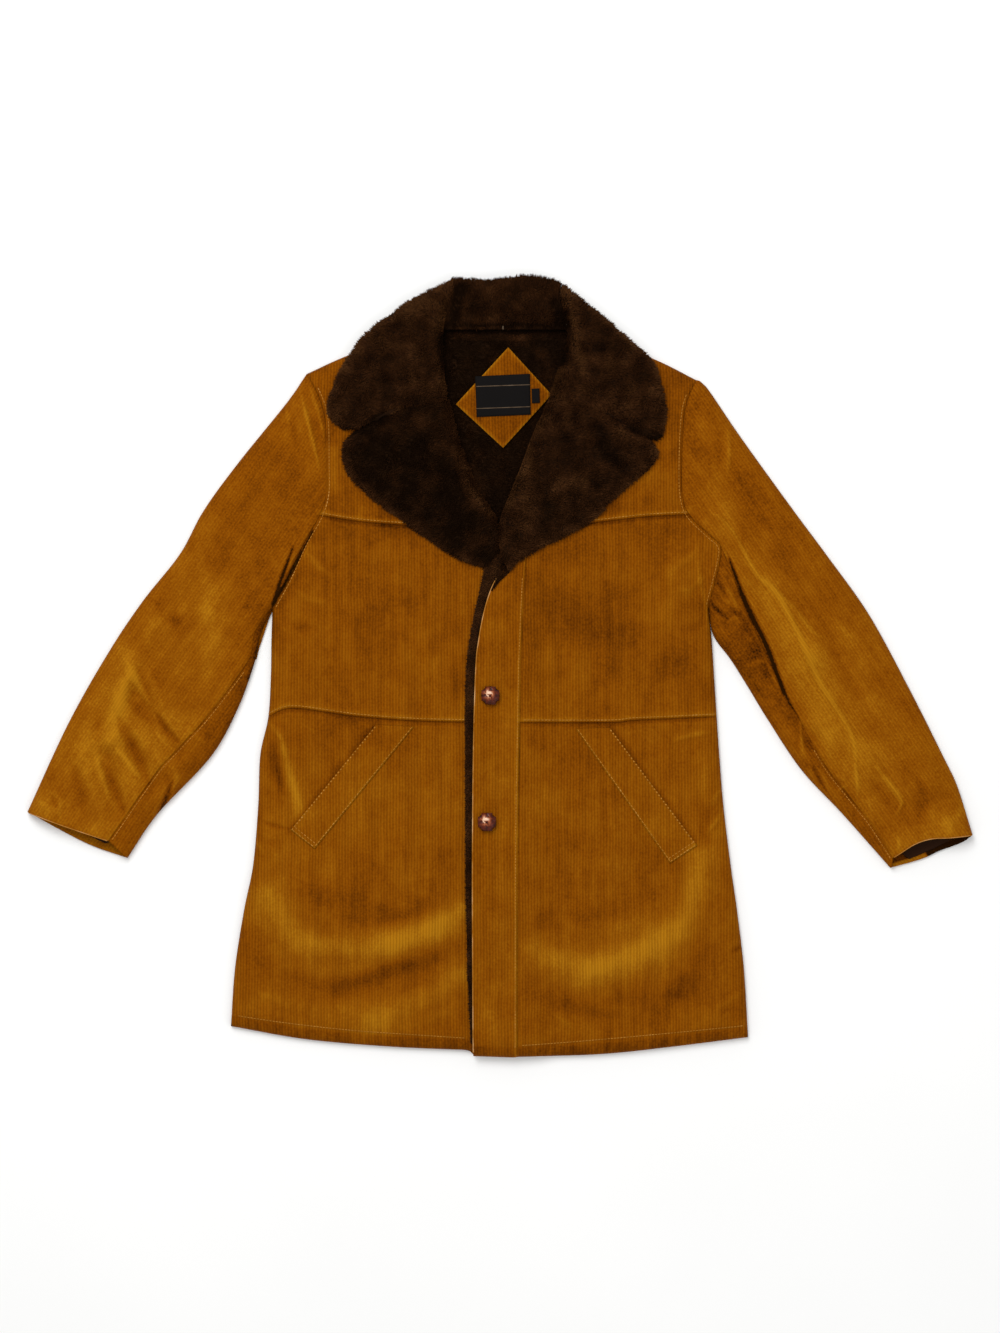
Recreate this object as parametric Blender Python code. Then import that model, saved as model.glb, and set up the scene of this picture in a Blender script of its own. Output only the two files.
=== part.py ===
import math
from collections import namedtuple

import bmesh
import bpy

for old in list(bpy.data.objects):
    bpy.data.objects.remove(old, do_unlink=True)

# All tables and sizes are millimetres; x runs across the chest, y from hem to neck, z up from the floor.
MM = 0.001
SHELL = 2.2
SEAM_GAP = 0.4
ARMHOLE_GAP = 0.2
BACK_LINING_LOW = 2.5
BACK_LINING_TOP = 6.5
FRONT_LINING_LOW = 6.9
LINING_CLEAR = 1.6
FACING_CLEAR = 0.8
EDGE_TOP = 4.9
BODY_PLATEAU = 15.0
SLEEVE_PLATEAU = 17.0
BODY_ROLL = 26.0
SLEEVE_ROLL = 30.0
SLEEVE_LINING = 2.4
OVERLAP_EDGE_STEP = 3.2
OVERLAP_STEP = 7.5
OVERLAP_REACH = 28.0
OVERLAP_FADE = 45.0
PILE_THICK = 10.0
PILE_ROUND = 13.0
FALL_TOP = 14.2
FALL_NECK_TOP = 8.8
WELT_THICK = 1.6
HEM_ROWS = (27.0, 17.0, 10.0, 5.0, 2.0)
BUTTON_RADIUS = 11.5
BUTTON_HEIGHT = 9.0
BUTTON_STEPS = 20

CORDUROY = ("corduroy", (0.29, 0.09, 0.006, 1.0), 0.85)
PILE = ("dark pile", (0.024, 0.009, 0.003, 1.0), 0.95)
LINING = ("sleeve lining", (0.02, 0.008, 0.003, 1.0), 0.6)
LEATHER = ("button leather", (0.07, 0.015, 0.008, 1.0), 0.35)
WOVEN = ("woven label", (0.008, 0.007, 0.007, 1.0), 0.6)


def rows(names, *values):
    Row = namedtuple("Row", names)
    return [Row(*value) for value in values]


SIDES = rows(
    "y left_x right_x",
    (70.2, -273.6, 250.8),
    (30.0, -274.8, 254.6),
    (-10.0, -275.4, 257.2),
    (-60.6, -278.4, 260.4),
    (-106.0, -288.0, 263.4),
    (-167.0, -290.4, 268.3),
    (-238.0, -296.4, 276.8),
    (-292.0, -307.2, 284.4),
    (-362.0, -318.0, 292.6),
)
HEM_LEFT = rows("x y", (-322.8, -431.4), (-233, -447), (-130, -456), (-38, -460), (22, -462))
HEM_RIGHT = rows("x y", (-32, -467), (16, -468.6), (119, -465), (202, -456.6), (297.6, -444.6))
SHOULDER_LEFT = rows("x y", (-232.8, 352.2), (-182.4, 375), (-92, 409))
SHOULDER_RIGHT = rows("x y", (236, 345), (186, 370), (98, 405))
ARMHOLE_LEFT = rows(
    "x y",
    (-232.8, 352.2),
    (-218.4, 325.8),
    (-210.0, 297.0),
    (-208.6, 244.2),
    (-208.8, 208.2),
    (-216.6, 181.0),
    (-235.2, 147.0),
    (-255.6, 102.6),
    (-269.1, 78.3),
    (-273.6, 70.2),
)
ARMHOLE_RIGHT = rows(
    "x y",
    (236.0, 345.0),
    (226.0, 322.0),
    (220.8, 297.0),
    (218.4, 244.2),
    (219.6, 205.0),
    (227.0, 182.0),
    (249.6, 159.0),
    (265.2, 143.4),
    (262.8, 119.4),
    (253.2, 82.2),
    (250.8, 70.2),
)
NECK_LEFT = rows("x y", (-92, 409), (-80, 391), (-74, 327), (-60.5, 266), (-38.5, 209), (-18, 165))
NECK_RIGHT = rows("x y", (98, 405), (92, 391), (80, 342), (54, 287), (31, 222), (12, 166))
YOKE_LEFT = rows("x y", (-216.6, 181), (-168, 173.4), (-105.6, 168.6), (-18, 165))
YOKE_RIGHT = rows("x y", (227, 182), (177.6, 179.4), (144, 175.8), (109.2, 172.2), (12, 166))
WAIST_LEFT = rows(
    "x y",
    (-278.4, -60.6),
    (-259.2, -52),
    (-240, -51),
    (-205.2, -55.8),
    (-170.4, -60.6),
    (-109.2, -65.4),
    (-43.2, -67.3),
    (22, -67.5),
)
WAIST_RIGHT = rows("x y", (260.4, -60.6), (210, -63), (157, -65.4), (132, -67.8), (24, -67.8))
CENTRE_LEFT = rows("x y", (-18, 165), (-4, 140), (4, 118), (22, 60), (22, -67.5))
PLACKET_SEAM = rows("x y", (30.4, 118), (26, 21), (24, -67.8), (21.6, -218), (21, -468))
FRONT_EDGE = rows("x y", (2.4, 115.8), (-24, 30.6), (-28, -10), (-30, -93), (-32, -218), (-32, -467))
FACING = rows(
    "y left_x right_x",
    (112.0, -8.0, 6.0),
    (80.0, -18.0, 12.0),
    (30.0, -32.5, 20.0),
    (-10.0, -36.0, 20.0),
    (-93.0, -37.0, 20.0),
    (-218.0, -37.5, 20.0),
    (-340.0, -36.5, 20.0),
    (-420.0, -35.8, 20.0),
    (-446.0, -35.4, 20.0),
)
WELTS = rows(
    "name top_out_x top_out_y top_in_x top_in_y low_out_x low_out_y low_in_x low_in_y",
    ("welt_left", -149, -70, -103, -72.5, -251, -196, -222, -219),
    ("welt_right", 132, -73.5, 90.6, -75, 236.5, -214.5, 203.5, -236),
)

OUTER_LEFT = rows(
    "x y",
    (-232.8, 352.2),
    (-256.8, 317.4),
    (-315.6, 244.2),
    (-356.4, 187.8),
    (-385.2, 135.0),
    (-429.6, 78.6),
    (-470.4, 17.4),
    (-518.4, -67.8),
    (-567.6, -174.6),
)
SEAM_LEFT = rows(
    "x y",
    (-269.1, 78.3),
    (-293, 42),
    (-300, 10),
    (-322.0, -23.4),
    (-356.4, -67.8),
    (-405.6, -120.6),
    (-434.4, -160.2),
    (-468, -209.4),
)
INNER_LEFT = rows(
    "x y",
    (-273.6, 70.2),
    (-287.5, 41.4),
    (-295.2, 5.4),
    (-315.6, -51.0),
    (-348.0, -108.6),
    (-411.6, -177.0),
    (-447.6, -229.8),
)
TOP_LIP_LEFT = rows("x y", (-567.6, -174.6), (-520, -192), (-468, -209.4))
LOW_LIP_LEFT = rows("x y", (-567.6, -176.5), (-524.4, -199.5), (-489.6, -216), (-447.6, -229.8))
OUTER_RIGHT = rows(
    "x y",
    (236.0, 345.0),
    (248.0, 337.0),
    (289.2, 276.6),
    (350.4, 191.4),
    (394.8, 131.4),
    (444.0, 61.8),
    (492.0, -27.0),
    (532.8, -108.6),
    (549.6, -144.6),
    (567.6, -202.5),
)
SEAM_RIGHT = rows(
    "x y",
    (265.2, 143.4),
    (302.4, 54.6),
    (330.0, -6.6),
    (358.8, -63.0),
    (390.0, -119.4),
    (417.6, -155.4),
    (444.0, -189.0),
    (470.4, -229.8),
)
INNER_RIGHT = rows(
    "x y",
    (250.8, 70.2),
    (256.5, 37.8),
    (277.2, 9.0),
    (297.6, -23.4),
    (321.6, -63.0),
    (362.4, -124.2),
    (411.6, -177.0),
    (469.0, -241.8),
)
TOP_LIP_RIGHT = rows("x y", (567.6, -202.5), (538.8, -205.4), (517.2, -206.5), (496.3, -213), (470.4, -229.8))
LOW_LIP_RIGHT = rows("x y", (567.6, -204.5), (555.2, -213), (528, -222.5), (507, -231.7), (469, -241.8))
SLEEVE_TUBE_LEFT = rows(
    "out_x out_y in_x in_y top",
    (-246, 306, -287, 72, 9.0),
    (-310, 235, -308, 20, 9.0),
    (-366, 150, -335, -50, 9.0),
    (-426, 62, -374, -112, 9.0),
    (-480, -24, -416, -162, 9.0),
    (-527, -116, -444, -190, 9.6),
    (-547, -160, -462, -204, 14.5),
)
SLEEVE_TUBE_RIGHT = rows(
    "out_x out_y in_x in_y top",
    (252, 312, 275, 66, 9.0),
    (318, 218, 306, 8, 8.2),
    (380, 132, 348, -56, 8.2),
    (436, 50, 388, -112, 8.2),
    (490, -52, 432, -162, 8.4),
    (530, -136, 460, -198, 9.0),
    (548, -184, 480, -216, 13.6),
)

LAPEL_LEFT = rows(
    "roll_x roll_y edge_x edge_y tuck",
    (-63, 316, -136, 299, 7.0),
    (-60.5, 308, -168, 281, 7.0),
    (-57.5, 297, -188, 263, 7.0),
    (-50.4, 269.4, -186, 237, 7.0),
    (-40, 241, -163.2, 208.2, 7.0),
    (-28.8, 214.2, -105.6, 165, 7.0),
    (-14, 190, -56.4, 131.4, 8.0),
    (-3.5, 170, -30, 121, 15.6),
    (-2, 140, -17, 117.8, 15.6),
)
LAPEL_RIGHT = rows(
    "roll_x roll_y edge_x edge_y tuck",
    (60, 321, 133, 294, 7.0),
    (56, 312, 165, 277, 7.0),
    (50, 300, 187, 257, 7.0),
    (41, 281, 186, 243, 7.0),
    (31, 254, 145.2, 208.2, 7.0),
    (20.4, 226.2, 111.6, 174.6, 7.0),
    (9, 198, 70, 151, 8.0),
    (0.8, 175, 28.8, 130.2, 15.6),
    (1.8, 142, 9, 119.5, 15.6),
)
COLLAR_LEFT = rows(
    "roll_x roll_y edge_x edge_y tuck",
    (-64, 319, -135.5, 306.5, 7.0),
    (-65, 325, -176, 284, 7.0),
    (-66, 334, -202, 293, 7.0),
    (-67.5, 352, -207.6, 315, 7.0),
    (-69.6, 388, -194.4, 352.2, 7.0),
    (-68.5, 408, -163.2, 397.8, 14.8),
    (-64, 428, -108, 440, 14.8),
    (-57.5, 443, -56.4, 466.2, 14.8),
)
COLLAR_RIGHT = rows(
    "roll_x roll_y edge_x edge_y tuck",
    (62, 326, 133, 302.5, 7.0),
    (64, 331, 167, 281, 7.0),
    (66, 338, 193, 272.5, 7.0),
    (69.5, 348, 200.4, 309, 7.0),
    (77, 372, 193, 341, 7.0),
    (81.6, 390, 183.6, 366.6, 7.0),
    (81, 408, 142.8, 403.8, 14.8),
    (77.5, 430, 110, 432, 14.8),
    (72, 443, 75.6, 460.2, 14.8),
)
COLLAR_BACK_LEFT = rows("x y", (-65, 411), (-61, 429), (-55.6, 443.5), (-55.4, 466))
COLLAR_BACK_RIGHT = rows("x y", (78.5, 411), (75, 430.5), (70.5, 443.5), (74.6, 460))
COLLAR_TOP = rows("x y", (-55.4, 466), (-13.2, 463.8), (36, 468.6), (74.6, 460))
COLLAR_FALL = rows(
    "in_x in_y out_x out_y in_top",
    (-152, 390.6, -158, 398, 14.2),
    (-114, 407, -106, 435, 14.2),
    (-92, 412.5, -80, 448, 11.5),
    (-70, 412.5, -58, 461, 8.8),
    (0, 411.5, 0, 459, 8.8),
    (80, 411.5, 74, 455, 8.8),
    (112, 403, 112, 426, 14.2),
    (150, 388, 155, 390.6, 14.2),
)
FRONT_LINING_LEFT = rows(
    "left_x left_y right_x right_y",
    (-192, 328, -92, 366),
    (-204, 296, -88, 327),
    (-204, 230, -62, 240),
    (-210, 186, -34, 186),
    (-236, 132, -12, 132),
    (-246, 60, 16, 60),
    (-250, -60, 18, -60),
    (-262, -200, 18, -200),
    (-279, -310, 18, -310),
    (-290, -404, 18, -436),
)
FRONT_LINING_RIGHT = rows(
    "left_x left_y right_x right_y",
    (100, 360, 196, 322),
    (94, 340, 214, 296),
    (56, 250, 213, 230),
    (30, 190, 220, 186),
    (33, 122, 236, 122),
    (29, 60, 226, 60),
    (27, -60, 233, -60),
    (27, -200, 243, -200),
    (27, -310, 256, -310),
    (27, -440, 264, -418),
)
BACK_LINING = rows(
    "x y",
    (-196, 342),
    (-98, 396),
    (-74, 408),
    (84, 408),
    (104, 392),
    (200, 336),
    (212, 300),
    (212, 200),
    (236, 150),
    (234, 80),
    (234, -60),
    (250, -240),
    (270, -424),
    (16, -448),
    (-34, -440),
    (-294, -411),
    (-270, -240),
    (-252, -60),
    (-248, 80),
    (-224, 150),
    (-202, 200),
    (-202, 300),
)
NECK_PATCH = rows("x y", (8, 381), (58, 327), (4, 265), (-49, 315))
LABEL = rows("x y", (-30, 349), (36, 352), (37, 303), (-28, 300))
SIZE_TAB = rows("x y", (38, 334), (47.5, 334.5), (48, 317), (38.5, 316.5))
BUTTONS = rows("name x y", ("button_upper", -11.5, -35.0), ("button_lower", -15.6, -186.0))

FOLDS = rows(
    "name x0 y0 x1 y1 x2 y2 half_width height",
    ("right sleeve ridge", 262, 176, 318, 99, 370, 12, 22, 5.0),
    ("right sleeve ridge end", 370, 12, 412, -68, 440, -110, 20, 4.5),
    ("right sleeve crease", 290, 84, 330, -6.6, 372, -88, 11, -4.6),
    ("right sleeve crease end", 372, -88, 400, -133, 430, -172, 10, -3.2),
    ("right cuff ring", 452, -150, 490, -172, 530, -160, 12, -1.8),
    ("left shoulder ridge", -246, 322, -232, 280, -224, 232, 16, 3.5),
    ("left elbow ridge", -440, 4, -452, -30, -466, -88, 15, 4.5),
    ("left elbow crease", -436, -34, -416, -66, -392, -98, 11, -4.5),
    ("left forearm crease", -440, -98, -430, -118, -420, -140, 11, -4.0),
    ("left cuff crease", -474, -108, -464, -140, -456, -172, 11, -3.5),
    ("left cuff ridge", -500, -110, -486, -150, -478, -176, 14, 3.0),
    ("left skirt swag", -282, -276, -236, -330, -130, -332, 26, 3.5),
    ("left skirt swag rise", -130, -332, -90, -318, -50, -292, 24, 3.0),
    ("left skirt hollow", -226, -386, -150, -384, -70, -352, 22, -1.6),
    ("left hem band", -170, -420, -110, -404, -50, -372, 20, 2.4),
    ("right skirt swag", 240, -244, 206, -322, 119, -362, 26, 3.5),
    ("right skirt swag rise", 119, -362, 90, -366, 60, -352, 24, 2.6),
    ("right skirt hollow", 240, -340, 210, -392, 120, -414, 22, -1.6),
    ("left side ridge", -262, -82, -254, -119, -244, -176, 14, 2.6),
    ("left armpit crease", -240, 126, -252, 100, -262, 66, 9, -2.2),
    ("right armpit crease", 238, 92, 244, 70, 246, 40, 9, -2.0),
    ("left chest drag", -226, 120, -190, 60, -176, 10, 26, 1.6),
    ("right chest drag", 224, 120, 190, 60, 180, 10, 26, 1.6),
    ("left cuff mouth", -552, -172, -516, -190, -478, -202, 20, 3.6),
    ("right cuff mouth", 552, -198, 520, -204, 484, -216, 20, 3.6),
)


def pairs(table):
    return [(row.x, row.y) for row in table]


def distance(point, start, end):
    dx = end[0] - start[0]
    dy = end[1] - start[1]
    length = dx * dx + dy * dy
    along = 0.0
    if length > 0.0:
        along = ((point[0] - start[0]) * dx + (point[1] - start[1]) * dy) / length
    along = min(1.0, max(0.0, along))
    return math.hypot(point[0] - start[0] - along * dx, point[1] - start[1] - along * dy)


def path_distance(point, path):
    return min(distance(point, path[i], path[i + 1]) for i in range(len(path) - 1))


def smooth(value):
    value = min(1.0, max(0.0, value))
    return value * value * (3.0 - 2.0 * value)


def rounded(reach):
    reach = min(1.0, max(0.0, reach))
    return math.sqrt(1.0 - (1.0 - reach) ** 2)


def lookup(value, stations):
    ordered = sorted(stations)
    if value <= ordered[0][0]:
        return ordered[0][1]
    for low, high in zip(ordered, ordered[1:]):
        if value <= high[0]:
            return low[1] + (high[1] - low[1]) * (value - low[0]) / (high[0] - low[0])
    return ordered[-1][1]


SIDE_LEFT = [(row.left_x, row.y) for row in SIDES]
SIDE_RIGHT = [(row.right_x, row.y) for row in SIDES]
BODY_LEFT = [(y, -x) for x, y in pairs(ARMHOLE_LEFT) + SIDE_LEFT[1:] + [pairs(HEM_LEFT)[0]]]
BODY_RIGHT = [(y, x) for x, y in pairs(ARMHOLE_RIGHT) + SIDE_RIGHT[1:] + [pairs(HEM_RIGHT)[-1]]]
OUTLINE = [
    pairs(SHOULDER_LEFT),
    pairs(OUTER_LEFT),
    pairs(INNER_LEFT),
    SIDE_LEFT + pairs(HEM_LEFT)[:1],
    pairs(HEM_LEFT)[:4] + [(-34, -460.3), (-34, -466.9)],
    pairs(HEM_RIGHT),
    SIDE_RIGHT + pairs(HEM_RIGHT)[-1:],
    pairs(INNER_RIGHT),
    pairs(OUTER_RIGHT),
    pairs(SHOULDER_RIGHT),
]


def fold_height(x, y):
    total = 0.0
    for fold in FOLDS:
        path = [(fold.x0, fold.y0), (fold.x1, fold.y1), (fold.x2, fold.y2)]
        away = path_distance((x, y), path) / fold.half_width
        if away < 2.5:
            total += fold.height * math.exp(-1.4 * away * away)
    return total


def trough_depth(x, y):
    return min(0.0, fold_height(x, y)) * 1.6


def edge_reach(x, y):
    return min(path_distance((x, y), path) for path in OUTLINE)


def sleeve_share(x, y):
    border = lookup(y, BODY_LEFT if x < 0 else BODY_RIGHT)
    return smooth((abs(x) - border) / 80.0)


def base_height(x, y, folds=fold_height):
    share = sleeve_share(x, y)
    plateau = BODY_PLATEAU + (SLEEVE_PLATEAU - BODY_PLATEAU) * share
    roll = rounded(edge_reach(x, y) / (BODY_ROLL + (SLEEVE_ROLL - BODY_ROLL) * share))
    return EDGE_TOP + (plateau - EDGE_TOP + folds(x, y)) * roll


def overlap_rise(x, y):
    across = 1.0 - smooth((x - OVERLAP_REACH) / OVERLAP_FADE)
    along = smooth((176.0 - y) / 60.0)
    roll = rounded(edge_reach(x, y) / BODY_ROLL)
    return across * along * (OVERLAP_EDGE_STEP + (OVERLAP_STEP - OVERLAP_EDGE_STEP) * roll)


def left_top(x, y):
    return base_height(x, y)


def right_top(x, y):
    return base_height(x, y) + overlap_rise(x, y)


def lining_top(x, y):
    return base_height(x, y, trough_depth) - SHELL - LINING_CLEAR


def lengths(path):
    total = [0.0]
    for start, end in zip(path, path[1:]):
        total.append(total[-1] + math.hypot(end[0] - start[0], end[1] - start[1]))
    return [value / total[-1] for value in total]


def at(path, share):
    stations = lengths(path)
    for i in range(len(path) - 1):
        if share <= stations[i + 1] or i == len(path) - 2:
            local = (share - stations[i]) / (stations[i + 1] - stations[i])
            return (
                path[i][0] + (path[i + 1][0] - path[i][0]) * local,
                path[i][1] + (path[i + 1][1] - path[i][1]) * local,
            )


def sample(path, shares):
    return [at(path, share) for share in shares]


def split(path, parts):
    points = [path[0]]
    for start, end in zip(path, path[1:]):
        for k in range(1, parts + 1):
            t = k / parts
            points.append((start[0] + (end[0] - start[0]) * t, start[1] + (end[1] - start[1]) * t))
    return points


def even(count):
    return [i / (count - 1) for i in range(count)]


def dense_start(count):
    return [1.0 - math.cos(0.5 * math.pi * share) for share in even(count)]


def dense_both(count):
    return [0.5 - 0.5 * math.cos(math.pi * share) for share in even(count)]


def patch(left, right, top, bottom):
    along = lengths(left)
    across = lengths(top)
    grid = []
    for i, v in enumerate(along):
        line = []
        for j, u in enumerate(across):
            point = []
            for k in range(2):
                edges = (1 - v) * top[j][k] + v * bottom[j][k] + (1 - u) * left[i][k] + u * right[i][k]
                corners = (1 - u) * (1 - v) * top[0][k] + u * (1 - v) * top[-1][k]
                corners += (1 - u) * v * bottom[0][k] + u * v * bottom[-1][k]
                point.append(edges - corners)
            line.append(tuple(point))
        grid.append(line)
    return grid


def step_towards(point, target, amount):
    reach = math.hypot(target[0] - point[0], target[1] - point[1])
    share = min(0.45, amount / reach) if reach > 0.0 else 0.0
    return (point[0] + (target[0] - point[0]) * share, point[1] + (target[1] - point[1]) * share)


def inset(grid, amount=SEAM_GAP / 2):
    result = [list(line) for line in grid]
    for line in result:
        first = step_towards(line[0], line[1], amount)
        last = step_towards(line[-1], line[-2], amount)
        line[0] = first
        line[-1] = last
    top = [step_towards(a, b, amount) for a, b in zip(result[0], result[1])]
    bottom = [step_towards(a, b, amount) for a, b in zip(result[-1], result[-2])]
    result[0] = top
    result[-1] = bottom
    return result


def beside(path, amount):
    result = []
    for i, point in enumerate(path):
        before = path[max(i - 1, 0)]
        after = path[min(i + 1, len(path) - 1)]
        dx = after[0] - before[0]
        dy = after[1] - before[1]
        reach = math.hypot(dx, dy)
        result.append((point[0] - dy / reach * amount, point[1] + dx / reach * amount))
    return result


def near_hem(shares, length):
    kept = [share for share in shares if (1.0 - share) * length > 34.0]
    return kept + [1.0 - away / length for away in HEM_ROWS] + [1.0]


def material_for(finish):
    name, colour, roughness = finish
    material = bpy.data.materials.new(name)
    material.use_nodes = True
    shader = material.node_tree.nodes["Principled BSDF"]
    shader.inputs["Base Color"].default_value = colour
    shader.inputs["Roughness"].default_value = roughness
    shader.inputs["Metallic"].default_value = 0.0
    return material


def make_node(name, finish, bm):
    bmesh.ops.recalc_face_normals(bm, faces=bm.faces)
    mesh = bpy.data.meshes.new(name)
    bm.to_mesh(mesh)
    bm.free()
    mesh.materials.append(material_for(finish))
    node = bpy.data.objects.new(name, mesh)
    bpy.context.scene.collection.objects.link(node)
    return node


def wall(name, finish, upper, lower, ring=False):
    bm = bmesh.new()
    faces = []
    for grid in (upper, lower):
        faces.append([[bm.verts.new((x * MM, y * MM, z * MM)) for x, y, z in line] for line in grid])
    count = len(upper[0])
    last = count if ring else count - 1
    for side in faces:
        for i in range(len(side) - 1):
            for j in range(last):
                k = (j + 1) % count
                bm.faces.new((side[i][j], side[i][k], side[i + 1][k], side[i + 1][j]))
    over, under = faces
    for i in (0, len(upper) - 1):
        for j in range(last):
            k = (j + 1) % count
            bm.faces.new((over[i][j], over[i][k], under[i][k], under[i][j]))
    if not ring:
        for j in (0, count - 1):
            for i in range(len(upper) - 1):
                bm.faces.new((over[i][j], over[i + 1][j], under[i + 1][j], under[i][j]))
    return make_node(name, finish, bm)


def plate(name, finish, outline, low, high):
    bm = bmesh.new()
    loops = []
    for z in (low, high):
        loops.append([bm.verts.new((x * MM, y * MM, z * MM)) for x, y in outline])
    count = len(outline)
    for i in range(count):
        k = (i + 1) % count
        bm.faces.new((loops[0][i], loops[0][k], loops[1][k], loops[1][i]))
    caps = [bm.faces.new(loop) for loop in loops]
    bmesh.ops.triangulate(bm, faces=caps, ngon_method="EAR_CLIP")
    return make_node(name, finish, bm)


def lifted(grid, height):
    return [[(x, y, height(x, y)) for x, y in line] for line in grid]


def shell_panel(name, grid, height):
    grid = inset(grid)
    upper = lifted(grid, height)
    lower = lifted(grid, lambda x, y: height(x, y) - SHELL)
    return wall(name, CORDUROY, upper, lower)


def shrink(outline, amount):
    area = 0.0
    count = len(outline)
    for i in range(count):
        k = (i + 1) % count
        area += outline[i][0] * outline[k][1] - outline[k][0] * outline[i][1]
    turn = 1.0 if area > 0.0 else -1.0
    result = []
    for i in range(count):
        before = outline[i - 1]
        after = outline[(i + 1) % count]
        dx = after[0] - before[0]
        dy = after[1] - before[1]
        reach = math.hypot(dx, dy)
        shift = turn * amount / reach
        result.append((outline[i][0] - shift * dy, outline[i][1] + shift * dx))
    return result


def body_panels(side, top, armhole, hem, neck, shoulder, yoke, waist, chest_centre, skirt_centre, yoke_row):
    across = dense_start(13)
    sides = SIDE_LEFT if side == "left" else SIDE_RIGHT
    hole = beside(pairs(armhole), ARMHOLE_GAP if side == "left" else -ARMHOLE_GAP)
    yoke_edge = split(hole[: yoke_row + 1], 2)
    along = lengths(yoke_edge)
    shoulder_edge = sample(pairs(shoulder), across)
    yoke_seam = sample(pairs(yoke), across)
    waist_seam = sample(pairs(waist), across)
    grid = patch(yoke_edge, sample(pairs(neck), along), shoulder_edge, yoke_seam)
    shell_panel("yoke_" + side, grid, top)
    chest_edge = split(hole[yoke_row:] + sides[1:4], 2)
    grid = patch(chest_edge, sample(chest_centre, lengths(chest_edge)), yoke_seam, waist_seam)
    shell_panel("chest_" + side, grid, top)
    skirt_side = sides[3:] + hem[:1]
    along = near_hem(lengths(split(skirt_side, 2)), 380.0)
    grid = patch(sample(skirt_side, along), sample(skirt_centre, along), waist_seam, sample(hem, across))
    shell_panel("skirt_" + side, grid, top)


def fronts():
    left_skirt_centre = [(22, -67.5), (22, -462)]
    body_panels(
        "left", left_top, ARMHOLE_LEFT, pairs(HEM_LEFT), NECK_LEFT, SHOULDER_LEFT, YOKE_LEFT, WAIST_LEFT,
        pairs(CENTRE_LEFT), left_skirt_centre, 5,
    )
    right_chest_centre = [(12, 166), (23, 140), (32.5, 126), (31.0, 110)] + pairs(PLACKET_SEAM)[1:3]
    right_hem = list(reversed(pairs(HEM_RIGHT)[2:])) + pairs(PLACKET_SEAM)[-1:]
    body_panels(
        "right", right_top, ARMHOLE_RIGHT, right_hem, NECK_RIGHT, SHOULDER_RIGHT, YOKE_RIGHT, WAIST_RIGHT,
        right_chest_centre, pairs(PLACKET_SEAM)[2:], 5,
    )


def placket():
    shares = near_hem(even(22), 586.0)
    seam = sample(pairs(PLACKET_SEAM), shares)
    edge = sample(pairs(FRONT_EDGE), shares)
    top = sample([edge[0], seam[0]], even(5))
    low = sample([edge[-1], seam[-1]], even(5))
    shell_panel("placket", patch(edge, seam, top, low), right_top)


def facing():
    grid = []
    for row in FACING:
        grid.append(sample([(row.left_x, row.y), (row.right_x, row.y)], even(5)))
    fine = []
    for first, second in zip(grid, grid[1:]):
        for k in range(3):
            t = k / 3
            fine.append([(a[0] + (b[0] - a[0]) * t, a[1] + (b[1] - a[1]) * t) for a, b in zip(first, second)])
    fine.append(grid[-1])
    upper = lifted(fine, lambda x, y: right_top(x, y) - SHELL - FACING_CLEAR)
    lower = lifted(fine, lambda x, y: left_top(x, y) + 0.8)
    wall("front_facing", PILE, upper, lower)


def front_lining(name, table, rise):
    grid = []
    for first, second in zip(table, table[1:]):
        for k in range(2):
            start = [a + (b - a) * k / 2 for a, b in zip(first, second)]
            grid.append(sample([(start[0], start[1]), (start[2], start[3])], even(9)))
    last = table[-1]
    grid.append(sample([(last.left_x, last.left_y), (last.right_x, last.right_y)], even(9)))
    upper = lifted(grid, lambda x, y: lining_top(x, y) + rise(x, y))
    lower = lifted(grid, lambda x, y: FRONT_LINING_LOW + rise(x, y))
    wall(name, PILE, upper, lower)


def back():
    left = pairs(ARMHOLE_LEFT) + SIDE_LEFT[1:]
    right = pairs(ARMHOLE_RIGHT) + SIDE_RIGHT[1:]
    hem = pairs(HEM_LEFT)[:4] + pairs(HEM_RIGHT)
    shoulder = pairs(SHOULDER_RIGHT)[1:] + [(80, 410), (-72, 410)] + list(reversed(pairs(SHOULDER_LEFT)[1:]))
    outline = left + hem + list(reversed(right)) + shoulder
    plate("back_panel", CORDUROY, shrink(outline, 0.3), 0.0, SHELL)
    plate("back_lining", PILE, pairs(BACK_LINING), BACK_LINING_LOW, BACK_LINING_TOP)


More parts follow.
